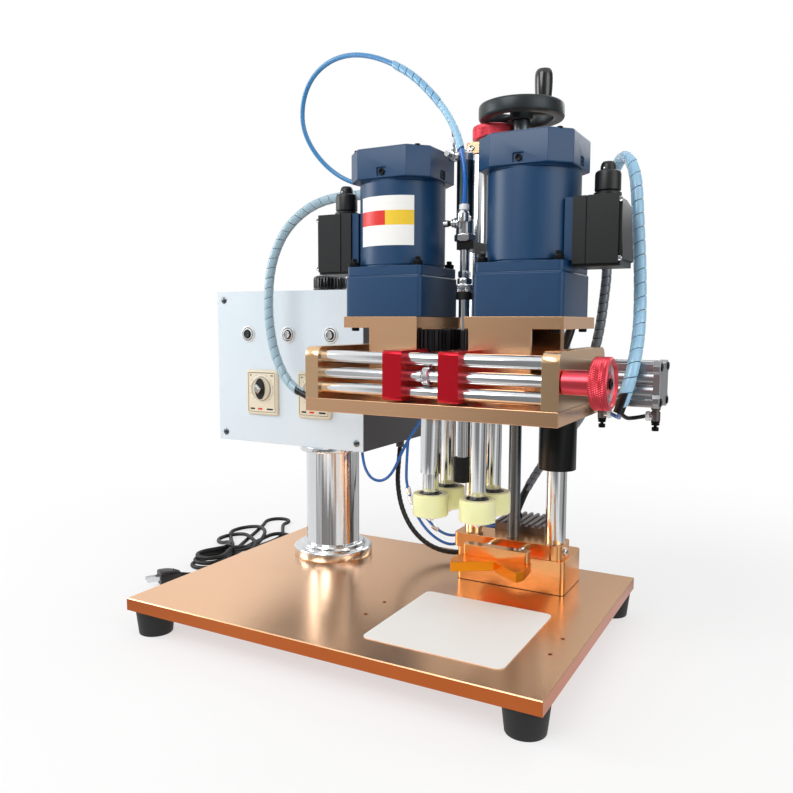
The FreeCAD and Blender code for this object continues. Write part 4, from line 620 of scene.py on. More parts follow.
# Each line: route, radius, where it rides, slot, node it stands for, its tubes as start, end, radius and finish, and
# its wraps as start, end, inner and outer radius, width, pitch and finish. All are millimetres along the line, and a
# place below zero is counted from the far end. The trunk is drawn as two lines that meet behind the left motor.
full = 9999
hoses = {
    "trunkHose": (trunkRoute[:27], 6.2, pulls["top"], "hose_blue", ["trunk_hose"],
                  [(0, 262, 4.5, "tubeBlack"), (262, full, 5.2, "tubeBlack")],
                  [(262, full, 5.22, 6.2, 12.7, 13.5, "wrapGrey")]),
    "trunkRight": (trunkRoute[24:], 6.2, "carriage", "hose_blue", [],
                   [(0, full, 5.2, "tubeBlack")], [(-392, -14, 5.22, 6.2, 13.7, 14.6, "wrapBlue")]),
    "presserHose": (pressHoseRoute, 3.6, "carriage", "hose_blue", ["presser_hose"],
                    [(0, 58, 2.6, "tubeBlue"), (58, 210, 3.3, "tubeBlack"), (210, full, 2.9, "loopBlue")],
                    [(57, 124, 3.32, 3.9, 5.9, 6.0, "wrapBlue"), (122, 214, 3.32, 4.3, 11.9, 13.0, "wrapDeep")]),
    "portTube": (portTubeRoute, 1.6, "carriage", "hose_blue", [], [(0, full, 1.6, "tubeBlack")], []),
    "dropHose": (dropRoute, 5.6, pulls["drop"], "hose_black", ["drop_hose"], [(0, full, 4.9, "tubeBlack")],
                 [(6, -34, 4.92, 5.6, 8.9, 9.9, "wrapDark")]),
    "clampHose": (clampHoseRoute, 3.5, "frame", "hose_black", ["clamp_hose"], [(0, full, 3.0, "tubeBlack")],
                  [(5, -25, 3.02, 3.5, 6.4, 7.4, "lead")]),
    "boxTube": (boxTubeRoute, 2.0, pulls["box"], "hose_blue", [], [(0, full, 2.0, "tubeBlue")], []),
    "sideTube": (sideTubeRoute, 2.0, "frame", "hose_blue", [], [(0, full, 2.0, "tubeBlue")], []),
    "upperTube": (upperTubeRoute, 2.0, "frame", "hose_blue", [], [(0, full, 2.0, "tubeBlue")], []),
    "branchLeft": (branchLeft, 2.0, "carriage", "hose_blue", [], [(0, full, 2.0, "tubeBlue")], []),
    "branchRight": (branchRight, 2.0, "carriage", "hose_blue", [], [(0, full, 2.0, "tubeBlack")], [])}


def layLine(name, route, radius, body, slot, nodes, tubes, wraps):
    line = Line(route)

    def reach(place):
        return min(place + line.long if place < 0 else place, line.long)

    for i, (start, end, inner, outer, wide, pitch, finish) in enumerate(wraps):
        shape = Shape()
        shape.wind(line, reach(start), min(reach(end), line.long - 3), inner, outer, wide, pitch)
        place(f"{name}Wrap{i}", shape, body, slot, [finish])
    tube = Shape()
    for i, (start, end, size, finish) in enumerate(tubes):
        start, end = reach(start), reach(end)
        tube.coat = i
        tube.loft([[line.at(spot) @ Vector((size * math.cos(a), size * math.sin(a), 0)) for a in circle(16)]
                   for spot in [start] + [r for r in line.reach if start + 0.5 < r < end - 0.5] + [end]])
    hose = place(name, tube, body, slot, [entry[3] for entry in tubes], nodes)
    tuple(route[0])
    2 * radius / 1000
    [tuple(point / 1000) for point in line.points]


def makeHoses():
    for name, details in hoses.items():
        layLine(name, *details)
    joints = Shape()
    for route, spots in ((sideTubeRoute, ((72, 3.6), (84, 4.2), (97, 3.6))), (upperTubeRoute, ((2, 3.4), (46, 3.8)))):
        line = Line(route)
        for spot, radius in spots:
            joints.lathe(line.at(spot), [(2.02, -5), (radius - 0.5, -5), (radius, -4.4, 6), (radius, 1.5, 6),
                                         (radius - 0.4, 2), (radius - 0.6, 5), (2.02, 5)], 24, loop=True)
    place("tubeJoints", joints, "frame", "button_metal", ["bright"])


makeHoses()
print("air lines laid")

# Mains lead: out of the box, down to the floor, three loops of a tied hank, then the plug
mainsRoute = [(-0.385, 0.314, 0.201), (-0.385, 0.337, 0.1995), (-0.3855, 0.358, 0.184), (-0.386, 0.367, 0.152),
    (-0.3865, 0.366, 0.112), (-0.387, 0.358, 0.072), (-0.3885, 0.346, 0.034), (-0.392, 0.333, 0),
    (-0.401, 0.321, -0.028), (-0.418, 0.311, -0.0415), (-0.441, 0.305, -0.0418), (-0.461, 0.303, -0.0375),
    (-0.4765, 0.301, -0.0354), (-0.4885, 0.289, -0.0358), (-0.4935, 0.268, -0.0395), (-0.4925, 0.23, -0.0418),
    (-0.4855, 0.2, -0.0418), (-0.4825, 0.176, -0.0418), (-0.4745, 0.156, -0.0418), (-0.466, 0.134, -0.0418),
    (-0.466, 0.1153, -0.0418), (-0.4783, 0.103, -0.0418), (-0.4957, 0.103, -0.0418), (-0.508, 0.1153, -0.0418),
    (-0.508, 0.134, -0.0418), (-0.4995, 0.156, -0.0418), (-0.4925, 0.176, -0.0418), (-0.494, 0.2, -0.0418),
    (-0.511, 0.24, -0.0418), (-0.532, 0.295, -0.0418), (-0.552, 0.345, -0.0418), (-0.5674, 0.3722, -0.0418),
    (-0.5667, 0.3896, -0.0418), (-0.5538, 0.4014, -0.0418), (-0.5364, 0.4007, -0.0418), (-0.5246, 0.3878, -0.0418),
    (-0.5253, 0.3704, -0.0418), (-0.511, 0.35, -0.0418), (-0.482, 0.312, -0.0418), (-0.474, 0.285, -0.0418),
    (-0.475, 0.24, -0.0418), (-0.4805, 0.205, -0.0395), (-0.4825, 0.178, -0.0357), (-0.4745, 0.16, -0.0357),
    (-0.4655, 0.14, -0.0357), (-0.4655, 0.1213, -0.0357), (-0.4778, 0.109, -0.0357), (-0.4952, 0.109, -0.0357),
    (-0.5075, 0.1213, -0.0357), (-0.5075, 0.14, -0.0357), (-0.4995, 0.16, -0.0357), (-0.4925, 0.178, -0.0357),
    (-0.4995, 0.2, -0.0357), (-0.5165, 0.2195, -0.038), (-0.537, 0.2395, -0.0415), (-0.558, 0.262, -0.0418),
    (-0.5735, 0.2795, -0.0418), (-0.5785, 0.2985, -0.0418), (-0.57, 0.3155, -0.0405), (-0.552, 0.3225, -0.038),
    (-0.533, 0.3155, -0.0355), (-0.515, 0.302, -0.034), (-0.5, 0.285, -0.033), (-0.489, 0.268, -0.0335),
    (-0.4825, 0.248, -0.0385), (-0.483, 0.222, -0.04), (-0.4835, 0.2, -0.0345), (-0.483, 0.18, -0.0298),
    (-0.4755, 0.162, -0.0298), (-0.4665, 0.144, -0.0298), (-0.4665, 0.1273, -0.0298), (-0.4788, 0.115, -0.0298),
    (-0.4962, 0.115, -0.0298), (-0.5085, 0.1273, -0.0298), (-0.5085, 0.144, -0.0298), (-0.4995, 0.162, -0.0298),
    (-0.4925, 0.18, -0.0298), (-0.4995, 0.197, -0.0298), (-0.5145, 0.207, -0.032), (-0.532, 0.213, -0.038),
    (-0.5515, 0.2235, -0.0418), (-0.5645, 0.2385, -0.0418), (-0.5645, 0.2585, -0.0415), (-0.5505, 0.271, -0.0395),
    (-0.532, 0.2705, -0.037), (-0.513, 0.259, -0.0354), (-0.495, 0.247, -0.0354), (-0.482, 0.2375, -0.0352),
    (-0.4705, 0.222, -0.038), (-0.4665, 0.2, -0.0418), (-0.4625, 0.175, -0.0418), (-0.4575, 0.15, -0.0418),
    (-0.4555, 0.125, -0.0418), (-0.4555, 0.102, -0.0418), (-0.4585, 0.082, -0.0415), (-0.464, 0.067, -0.039),
    (-0.4725, 0.053, -0.0352)]
mains = {"radius": 3.2, "reliefFoot": 5.6, "reliefTip": 3.7, "reliefLong": 34, "ribs": 7,
         "plug": (-480, 40, -45), "turn": -30, "tie": (-487.6, 179, 9.6, 9.4)}


def makeMainsLead():
    line = Line(mainsRoute)
    relief = Shape()
    rings = []
    for step in range(mains["ribs"] * 6 + 1):
        share = step / (mains["ribs"] * 6)
        radius = mains["reliefFoot"] + (mains["reliefTip"] - mains["reliefFoot"]) * share
        radius -= 0.7 if step % 6 in (4, 5) else 0
        spot = line.at(share * mains["reliefLong"])
        rings.append([spot @ Vector((radius * math.cos(a), radius * math.sin(a), 0)) for a in circle(24)])
    relief.loft(rings)
    reliefPiece = place("mainsRelief", relief, "frame", "lead_black", ["lead"])

    plug = Shape()
    spin = at(*mains["plug"], "z", mains["turn"])
    sections = [(-15, 12.0, 9.4), (-13.5, 13.0, 10.0), (-4, 13.0, 10.0), (4, 11.4, 9.0), (9, 8.6, 7.2),
                (13, 6.6, 6.0), (15, 5.6, 5.4)]
    plug.loft([[spin @ Vector((x, y, 10 + z)) for x, z in oval(wide, high, 0.45, 32)] for y, wide, high in sections])
    for y in (6.5, 9.5, 12.0):
        wide = 9.4 - (y - 6.5) * 0.5
        plug.lathe(spin @ at(0, y, 10, "y"), [(wide, -0.6), (wide + 0.7, 0), (wide, 0.6)], 24)
    plug.coat = 1
    for x in (-6.35, 6.35):
        plug.prism(spin @ at(x, -14, 10, "-y"), [(-0.75, -3.1), (0.75, -3.1), (0.75, 3.1), (-0.75, 3.1)], 0, 19, 0.8)
    plugPiece = place("mainsPlug", plug, "frame", "black_plastic", ["plastic", "bright"], ["mains_plug"], 0.3)

    tie = Shape()
    middle, y, wide, high = mains["tie"]
    edges = ((-2.2, 0.0), (-2.2, 1.2), (2.2, 1.2), (2.2, 0.0))
    tie.loft([[Vector((middle + x, y + step, max(-44.9, -35.8 + z)))
               for x, z in oval(wide + grow, high + grow, 0.6, 36)] for step, grow in edges], loop=True)
    tiePiece = place("mainsTie", tie, "frame", "lead_black", ["lead"])
    lead = makeCord("mainsLead", mainsRoute, mains["radius"] * 0.001, "frame", "lead",
                    ["mains_cord", "mains_hank"])
    print("mains lead laid:", round(line.long), "mm")


makeMainsLead()

# Finishes of the solids that keep their own shape
kept = {
    "base_plate": ("copperPlate", 2.2), "carriage_plate": ("copper", 0.7), "top_plate": ("copper", 0.7),
    "motor_plate_left": ("copper", 0.6), "motor_plate_right": ("copper", 0.6),
    "end_plates": ("tan", 0.6),
    "slide_block_left": ("red", 0.8), "slide_block_right": ("red", 0.8), "vee_plate": ("orange", 0.6),
    "column": ("chrome", 0.6), "guide_rods": ("rod", 0.5), "slide_rails": ("railSteel", 0.3),
    "adjusting_screw": ("railSteel", 0.0), "pinion_left": ("nylon", 0.2),
    "pinion_right": ("nylon", 0.2), "feet": ("rubber", 0.8), "presser_pad": ("rubber", 0.4),
    "guide_sleeves": ("blackAnodised", 0.5), "air_unit": ("plastic", 0.4),
    "control_box": ("boxGrey", 0.8), "control_panel": ("panel", 0.4), "work_mat": ("matWhite", 0.2)}
for node, (finish, bevel) in kept.items():
    dress(node, finish, bevel)
print("solids dressed:", len(kept))


# The base plate's sides are painted darker than its top, chosen by the direction of each face: painted shade standing
# for the dark reflection they show
def dressPlate():
    finish = Finish(finishes["copperPlate"])
    shader = finish.tree.nodes["Principled BSDF"]
    up = finish.node("SeparateXYZ", None, {"Vector": finish.node("TexCoord", take="Normal")}, "Z")
    colour = Wire(finish, shader.inputs["Base Color"].links[0].from_socket)
    noise = finish.node("TexNoise", None, {"Vector": finish.node("TexCoord", take="Object"), "Scale": 6.0}, "Fac")
    # painted shade and reflection: the sides take a darker copper tone than the top
    deep = finish.blend(noise, tint("#C8703E"), tint("#A85429"))
    finish.feed(shader, "Base Color", finish.blend(up > 0.6, deep, colour))


dressPlate()


# Wheel spindles: steel shafts whose gears are nylon, told apart by height
def dressSpindles():
    finish = Finish(finishes["rod"].copy())
    finish.holder.name = "spindleSteel"
    shader = finish.tree.nodes["Principled BSDF"]
    high = finish.node("SeparateXYZ", None, {"Vector": finish.node("TexCoord", take="Object")}, "Z")
    gear = high > 0.3035
    colour = Wire(finish, shader.inputs["Base Color"].links[0].from_socket)
    rough = Wire(finish, shader.inputs["Roughness"].links[0].from_socket)
    finish.feed(shader, "Base Color", finish.blend(gear, colour, tint("#17181A")))
    finish.feed(shader, "Metallic", 1 - gear)
    finish.feed(shader, "Roughness", rough + gear * 0.18)
    finishes["spindle"] = finish.holder
    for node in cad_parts:
        if node.startswith("spindle_"):
            dress(node, "spindle", 0.25)


dressSpindles()

# Control panel: corner screws, push buttons and the two timers
panelSizes = {"front": 120, "screws": [(-437.5, 170.5), (-437.5, 364.5), (-209, 170.5)], "screwRadius": 4.8,
              "buttonZ": 316, "buttons": {"start": -393, "stop": -321.5, "lamp": -250},
              "timers": {"left": -366.5, "right": -276}, "timerZ": 232.5, "timerWide": 56, "timerHigh": 65,
              "bodyWide": 42, "bodyHigh": 50, "bodyDeep": 60, "dialZ": 238, "ring": 17}


def makePanel():
    sizes = panelSizes
    front = sizes["front"]
    screws = Shape()
    for x, z in sizes["screws"]:
        spot = at(x, front, z, "-y", 25)
        screws.lathe(spot, [(0, -1), (sizes["screwRadius"], -1), (sizes["screwRadius"], 0.6),
                            (sizes["screwRadius"] * 0.7, 1.5), (0, 1.8)], 28)
        # a black bar across each screw head for its slot: painted shade standing for the recess
        screws.coat = 1
        screws.prism(spot, [(-3.0, -0.55), (3.0, -0.55), (3.0, 0.55), (-3.0, 0.55)], 0.8, 1.86)
        screws.coat = 0
    place("panelScrews", screws, "frame", "button_metal", ["screwSteel", "plastic"])
    rings = Shape()
    for name, x in sizes["buttons"].items():
        spot = at(x, front, sizes["buttonZ"], "-y")
        rings.coat = 0
        rings.lathe(spot, [(6.7, -0.4), (11.9, -0.4), (11.9, 0.9), (11.0, 1.9), (9.7, 2.1), (9.3, 1.2), (8.4, 1.2),
                           (8.0, 2.4), (7.1, 2.7), (6.7, 2.3)], 56, loop=True)
        rings.coat = 1
        rings.lathe(spot, [(8.2, 0.6), (9.5, 0.6), (9.5, 1.35), (8.2, 1.35)], 56, loop=True)
        button = Shape()
        button.coat = 1
        button.rod(spot, 6.3, -1.9, 2.0, 48)
        button.coat = 2 if name == "start" else 0
        button.lathe(spot, [(0, 1.6), (5.2, 1.6), (5.2, 4.3), (4.7, 4.9), (2.4, 4.5), (0, 4.4)], 48)
        place(f"pushButton_{name}", button, f"button_{name}", "button_metal", ["bright", "rubber", "casting"],
              [f"push_button_{name}"])
    place("buttonRings", rings, "frame", "button_metal", ["ringMetal", "rubber"])
    faces = Shape()
    for x in sizes["timers"].values():
        half, tall = sizes["timerWide"] / 2, sizes["timerHigh"] / 2
        spot = at(x, front, sizes["timerZ"], "-y")
        faces.coat = 0
        faces.prism(spot, rounded(sizes["bodyWide"] / 2, sizes["bodyHigh"] / 2, 1.5), -sizes["bodyDeep"], 0.5)
        rings = []
        for inset, level in ((0, 0), (0, 2.6), (1.2, 4.4), (2.4, 5.0), (3.4, 5.0), (4.0, 4.2), (6, 4.2)):
            rings.append([spot @ Vector((*p, level)) for p in rounded(half - inset, tall - inset,
                                                                      max(4.2 - inset * 0.5, 0.8))])
        faces.loft(rings)
        faces.coat = 2
        faces.prism(spot, rounded(half - 4.1, tall - 4.1, 1.6), 4.1, 4.3)
        faces.coat = 0
        faces.prism(spot, rounded(half - 4.7, tall - 4.7, 1.4), 4.1, 4.5)
        middle = at(x, front, sizes["dialZ"], "-y")
        faces.coat = 3
        faces.lathe(middle, [(sizes["ring"] + 0.8, 4.3), (sizes["ring"] + 2.6, 4.3), (sizes["ring"] + 2.6, 5.4),
                             (sizes["ring"] + 0.8, 5.8)], 56, loop=True)
        faces.coat = 2
        for k in range(11):
            a = math.radians(-135 + 27 * k)
            tick = middle @ Matrix.Rotation(a, 4, "Z")
            faces.prism(tick, [(-0.3, 20.2), (0.3, 20.2), (0.3, 21.8), (-0.3, 21.8)], 4.4, 4.62)
        for dx, dz, wide, high in ((-19.5, 24.5, 3.4, 1.4), (18.5, 24.5, 5, 1.4), (-16.5, -23.8, 8, 2.4),
                                   (14.5, -23.8, 11, 2.4)):
            faces.prism(spot @ Matrix.Translation((dx, dz, 0)), rounded(wide / 2, high / 2, 0.4), 4.4, 4.62)
        faces.coat = 4
        faces.prism(spot @ Matrix.Translation((-3, -23.8, 0)), rounded(4.0, 1.3, 0.5), 4.4, 4.66)
    place("timerFaces", faces, "frame", "timer_cream", ["cream", "labelWhite", "plastic", "timerRing", "labelRed"],
          ["timer_relays"], 0.25)
    for name, x in sizes["timers"].items():
        dial = Shape()
        spot = at(x, front, sizes["dialZ"], "-y")
        dial.lathe(spot, [(0, 1.5), (3, 1.5), (3, 5.0), (sizes["ring"] - 0.6, 5.2), (sizes["ring"], 5.8),
                          (sizes["ring"], 8.4), (sizes["ring"] - 1.0, 9.0), (sizes["ring"] - 2.4, 8.6),
                          (sizes["ring"] - 2.8, 7.8), (0, 7.8)], 56)
        dial.coat = 1
        almond = [(8.6 * math.copysign(abs(math.cos(a)) ** 1.3, math.cos(a)), 15.4 * math.sin(a)) for a in circle(40)]
        dial.prism(spot, almond, 7.8, 10.4, 1.0)
        dial.coat = 2
        dial.prism(spot @ Matrix.Rotation(math.radians(12), 4, "Z"), [(-5.4, 0), (-2.0, -5.2), (0, -7.4), (2.0, -5.2),
            (5.4, 0), (2.0, 5.2), (0, 7.4), (-2.0, 5.2)], 10.2, 17.2, 2.2)
        place(f"timerDial_{name}", dial, f"dial_{name}", "dial_grey", ["dial", "rubber", "bright"],
              [f"timer_dial_{name}"], 0.25)


makePanel()
print("panel made")

# Regulator knob on the box
regulator = {"x": -284, "y": 170, "foot": 377.9, "radius": 24, "high": 21.5, "ribs": 30}


def makeRegulator():
    knob = Shape()
    spot = at(regulator["x"], regulator["y"], regulator["foot"])
    radius, high, ribs = regulator["radius"], regulator["high"], regulator["ribs"]

    def rib(turn, _):
        return -2.0 * (0.5 + 0.5 * math.cos(ribs * turn)) ** 2

    knob.lathe(spot, [(0, -10.6), (3.9, -10.6), (3.9, 0), (radius - 0.4, 0), (radius, 0.5), (radius, 2.6),
        (radius - 1.0, 3.0), (radius - 1.0, 3.6), (radius - 0.2, 4.2, rib), (radius - 0.2, high - 4.6, rib),
        (radius - 1.4, high - 2.4, rib), (radius - 4.5, high - 0.6), (radius - 8, high), (0, high)], ribs * 6)
    place("regulatorKnob", knob, "regulator", "black_plastic", ["glossy"], ["regulator_knob"])


makeRegulator()

# Hand drive: lead screw, handwheel, handle and the locking knob on the top plate
drive = {"y": 165, "screwRadius": 8, "screwFoot": 14.4, "plateTop": 557, "wheelFoot": 579, "pitch": 2.5,
         "wheelRadius": 52, "rimWide": 14, "rimHigh": 18, "hub": 14, "hubHigh": 22, "spokes": 3, "spokeTurn": 20,
         "handle": (14, 206, 597.4), "handleRadius": 11.5, "handleHigh": 52,
         "lock": (-38, 171, 557), "lockRadius": 26.5}


def makeHandDrive():
    d = drive
    screw = Shape()
    long = d["plateTop"] - d["screwFoot"]

    def thread(turn, high):
        return 0.2 * math.cos(2 * math.pi * high / d["pitch"] - turn) - 0.2

    steps = int(long / d["pitch"] * 5)
    profile = [(0, 0), (d["screwRadius"] - 1.5, 0)]
    profile += [(d["screwRadius"], 1 + (long - 3) * i / steps, thread) for i in range(steps + 1)]
    profile += [(d["screwRadius"] - 1, long - 1), (d["screwRadius"] - 1, long + 0.05), (10.4, long + 0.05),
                (11, long + 0.7), (11, long + 21), (10.4, long + 21.9), (5.9, long + 21.95), (5.9, long + 41),
                (5.2, long + 42), (0, long + 42)]
    screw.lathe(at(0, d["y"], d["screwFoot"]), profile, 28)
    place("leadScrew", screw, "screw", "screw_steel", ["screwSteel"], ["lead_screw"])

    wheel = Shape()
    foot = d["wheelFoot"]
    middle, half, tall = d["wheelRadius"] - d["rimWide"] / 2, d["rimWide"] / 2, d["rimHigh"] / 2
    rim = [(middle + x, tall + z) for x, z in oval(half, tall, 0.4, 20)]
    wheel.lathe(at(0, d["y"], foot), rim, 72, loop=True)
    wheel.lathe(at(0, d["y"], foot), [(6, 0), (d["hub"] - 0.8, 0), (d["hub"], 0.8), (d["hub"], d["hubHigh"] - 1.5),
                                      (d["hub"] - 1.5, d["hubHigh"]), (7.5, d["hubHigh"]),
                                      (6, d["hubHigh"] - 1)], 48, loop=True)
    for i in range(d["spokes"]):
        spot = at(0, d["y"], foot + tall) @ Matrix.Rotation(math.radians(d["spokeTurn"] + 120 * i), 4, "Z")
        wheel.loft([[spot @ Vector((x, *p)) for p in oval(wide, thick, 0.7, 16)] for x, wide, thick in
                    ((8, 7.4, 4.6), (14, 6.6, 4.0), (26, 5.4, 3.2), (36, 6.0, 3.6), (42, 7.6, 4.6))])
    wheel.coat = 1
    wheel.lathe(at(0, d["y"], foot + d["hubHigh"]), [(0, -2), (4.6, -2), (4.6, 1.4), (4.0, 1.9), (2.6, 1.9),
                                                     (2.3, 1.5, 6), (2.3, 0.2, 6), (0, 0.2)], 24)
    place("handwheelRim", wheel, "screw", "black_casting", ["casting", "darkSteel"], ["handwheel"])

    handle = Shape()
    top, r = d["handleHigh"], d["handleRadius"]
    handle.lathe(at(*d["handle"]), [(0, -9), (4, -9), (4, 0), (r - 3.4, 0), (r - 2.2, 1.2), (r - 2.0, 3.6),
        (r - 2.3, 6), (r - 2.1, 9), (r - 1.3, 16), (r - 0.5, 24), (r - 0.1, 32), (r, 39), (r - 0.1, 44.5),
        (r - 0.9, 48.4), (r - 2.6, 50.8), (r - 5.5, 51.8), (0, top)], 40)
    place("wheelHandle", handle, "handle", "black_plastic", ["glossy"], ["wheel_handle"])

    lock = Shape()
    r = d["lockRadius"]
    ribs = [(r, 4.4 + 0.5 * i, knurl(0.8, 38, 0.9)) for i in range(25)]
    lock.lathe(at(*d["lock"]), [(0, -10), (4.5, -10), (4.5, 0.3), (9, 0.3), (9, 3), (r - 2, 3), (r - 0.9, 3.8)] + ribs
               + [(r - 0.9, 19.2), (r - 2.2, 20), (r - 6, 20), (r - 7, 19.2), (9, 19.2), (8, 20), (3.6, 20),
                  (3.4, 19.6, 6), (3.4, 17, 6), (0, 17)], 304)
    place("lockKnob", lock, "lock", "red_anodised", ["redSoft"], ["lock_knob"])


makeHandDrive()
print("hand drive made")

# Adjusting knob outside the right end plate, and the knurled coupling on its screw
adjuster = {"x": 135.4, "y": -88, "z": 282, "stub": 11.3, "stubLong": 27, "radius": 23.5, "thick": 16, "dish": 3,
            "rim": 4, "coupling": (-3, 5)}


def makeAdjuster():
    a = adjuster
    end = a["stubLong"] + a["thick"]
    grooves = knurl(0.9, 36, 0.8)
    knob = Shape()
    ribs = [(a["radius"], a["stubLong"] + 1.6 + 0.6 * i, grooves) for i in range(22)]
    knob.lathe(at(a["x"], a["y"], a["z"], "x"), [
        (0, 0), (a["stub"] - 1, 0), (a["stub"], 1), (a["stub"], a["stubLong"] - 0.4), (a["stub"] + 1, a["stubLong"]),
        (a["radius"] - 1.8, a["stubLong"]), (a["radius"] - 0.9, a["stubLong"] + 0.8)] + ribs + [
        (a["radius"] - 0.9, end - 0.8), (a["radius"] - 1.8, end), (a["radius"] - a["rim"], end),
        (a["radius"] - a["rim"] - 1, end - a["dish"] + 1), (0, end - a["dish"] + 1)], 288)
    knob.coat = 1
    knob.lathe(at(a["x"] + end - a["dish"], a["y"], a["z"], "x"), [
        (0, 0.5), (a["radius"] - a["rim"] - 1.2, 0.5), (a["radius"] - a["rim"] - 1.2, 1.1), (9, 1.1), (8.2, 0.8),
        (0, 0.8)], 64)
    knob.coat = 2
    knob.screw(at(a["x"] + end - a["dish"] + 0.2, a["y"], a["z"], "x"), 5, 2.4)
    place("adjustingKnob", knob, "adjuster", "red_anodised", ["redSoft", "pinkFace", "darkSteel"], ["adjusting_knob"])
    first, last = a["coupling"]
    ring = Shape()
    ring.lathe(at(first, a["y"], a["z"], "x"), [(6.01, 0), (8.0, 0), (8.6, 0.6)] + [
        (8.6, 1 + 0.5 * i, grooves) for i in range(int((last - first - 2) * 2) + 1)] + [
        (8.6, last - first - 0.6), (8.0, last - first), (6.01, last - first)], 288, loop=True)
    place("adjustingCoupling", ring, "adjuster", "polished_steel", ["bright"])


makeAdjuster()


# Opening cylinder on the right end plate, with a flow fitting under each end
opener = {"left": 135, "y": 30, "z": 275, "half": 23, "long": 66, "cap": 7, "stems": (141.5, 194), "drop": 9}


def makeOpener():
    o = opener
    body = Shape()
    half = o["half"] - 1
    outline = []
    for quarter in range(4):
        spin = Matrix.Rotation(math.radians(90 * quarter), 2)
        # each side of the profile has two rounded ribs between three grooves
        side = [(-half + 2, -half), (-15, -half), (-14.4, -half + 2.6), (-12.6, -half + 2.6)]
        for middle in (-6.5, 6.5):
            side += [(middle + 5.4 * math.sin(math.radians(turn)), -half + 3.4 - 3.4 * math.cos(math.radians(turn)))
                     for turn in range(-75, 76, 25)]
            if middle < 0:
                side += [(-0.7, -half + 3.2), (0.7, -half + 3.2)]
        side += [(12.6, -half + 2.6), (14.4, -half + 2.6), (15, -half), (half - 2, -half)]
        outline += [tuple(spin @ Vector(p)) for p in side]
    body.prism(at(o["left"], o["y"], o["z"], "x"), outline, 0, o["long"] - o["cap"] + 0.5)
    cap = [(-23, -18), (-18, -23), (-13, -23), (-10, -21), (10, -21), (13, -23), (18, -23), (23, -18), (23, -13),
           (21, -10), (21, 10), (23, 13), (23, 18), (18, 23), (13, 23), (10, 21), (-10, 21), (-13, 23), (-18, 23),
           (-23, 18), (-23, 13), (-21, 10), (-21, -10), (-23, -13)]
    body.prism(at(o["left"] + o["long"] - o["cap"], o["y"], o["z"], "x"), cap, 0, o["cap"], 0.8)
    body.coat = 1
    for i, j in corners:
        body.screw(at(o["left"] + o["long"] - 1.2, o["y"] + 17 * i, o["z"] + 17 * j, "x"), 4.0, 2.4)
    foot = o["z"] - o["half"]
    for i, x in enumerate(o["stems"]):
        body.coat = 4
        body.lathe(at(x, o["y"], foot - o["drop"] - 5), [(0, 0), (4.2, 0), (4.5, 0.4), (4.5, 9), (3.6, 9.6),
                                                         (3.6, 11), (4.6, 11, 6), (4.6, 14.4, 6), (0, 14.4)], 24)
        way = "x" if i == 0 else "-x"
        body.coat = 2
        body.lathe(at(x, o["y"], foot - o["drop"] - 0.5, way), [(0, 2), (4.0, 2), (4.0, 5.6), (0, 5.6)], 24)
        body.coat = 3
        body.lathe(at(x, o["y"], foot - o["drop"] - 0.5, way), [(2.1, 5.6), (4.8, 5.6), (4.8, 8.2), (4.2, 9.4),
                                                                (2.1, 9.4)], 24, loop=True)
        body.coat = 1
        body.lathe(at(x, o["y"], foot - o["drop"] - 5, "-z"), [(0, -0.5), (4.2, -0.5), (4.2, 2), (3.4, 2.4),
            (4.2, 3.2), (3.6, 4.4), (1.6, 4.8), (1.6, 6), (3.4, 6.2), (3.4, 10), (0, 10)], 24)
    place("openingCylinder", body, "carriage", "silver_aluminium", ["grooved", "darkSteel", "bright", "collar",
                                                                    "clampGrey"], ["opening_cylinder"], 0.3)


makeOpener()

# Presser: slim steel cylinder on a bracket, with a fitting at each end, and its rod with nuts and coupling
presser = {"arm": (410, 418.5), "armX": (-7, 12), "armY": (-6, 104), "postX": 16, "postY": (104, 120),
           "postZ": (256, 418.5), "barrel": (441, 500.5), "radius": 9.6, "port": (4.8, -14, 437), "topPort": -14,
           "rodFoot": 177, "pad": 189, "coupling": (358, 366, 374, 381, 388)}


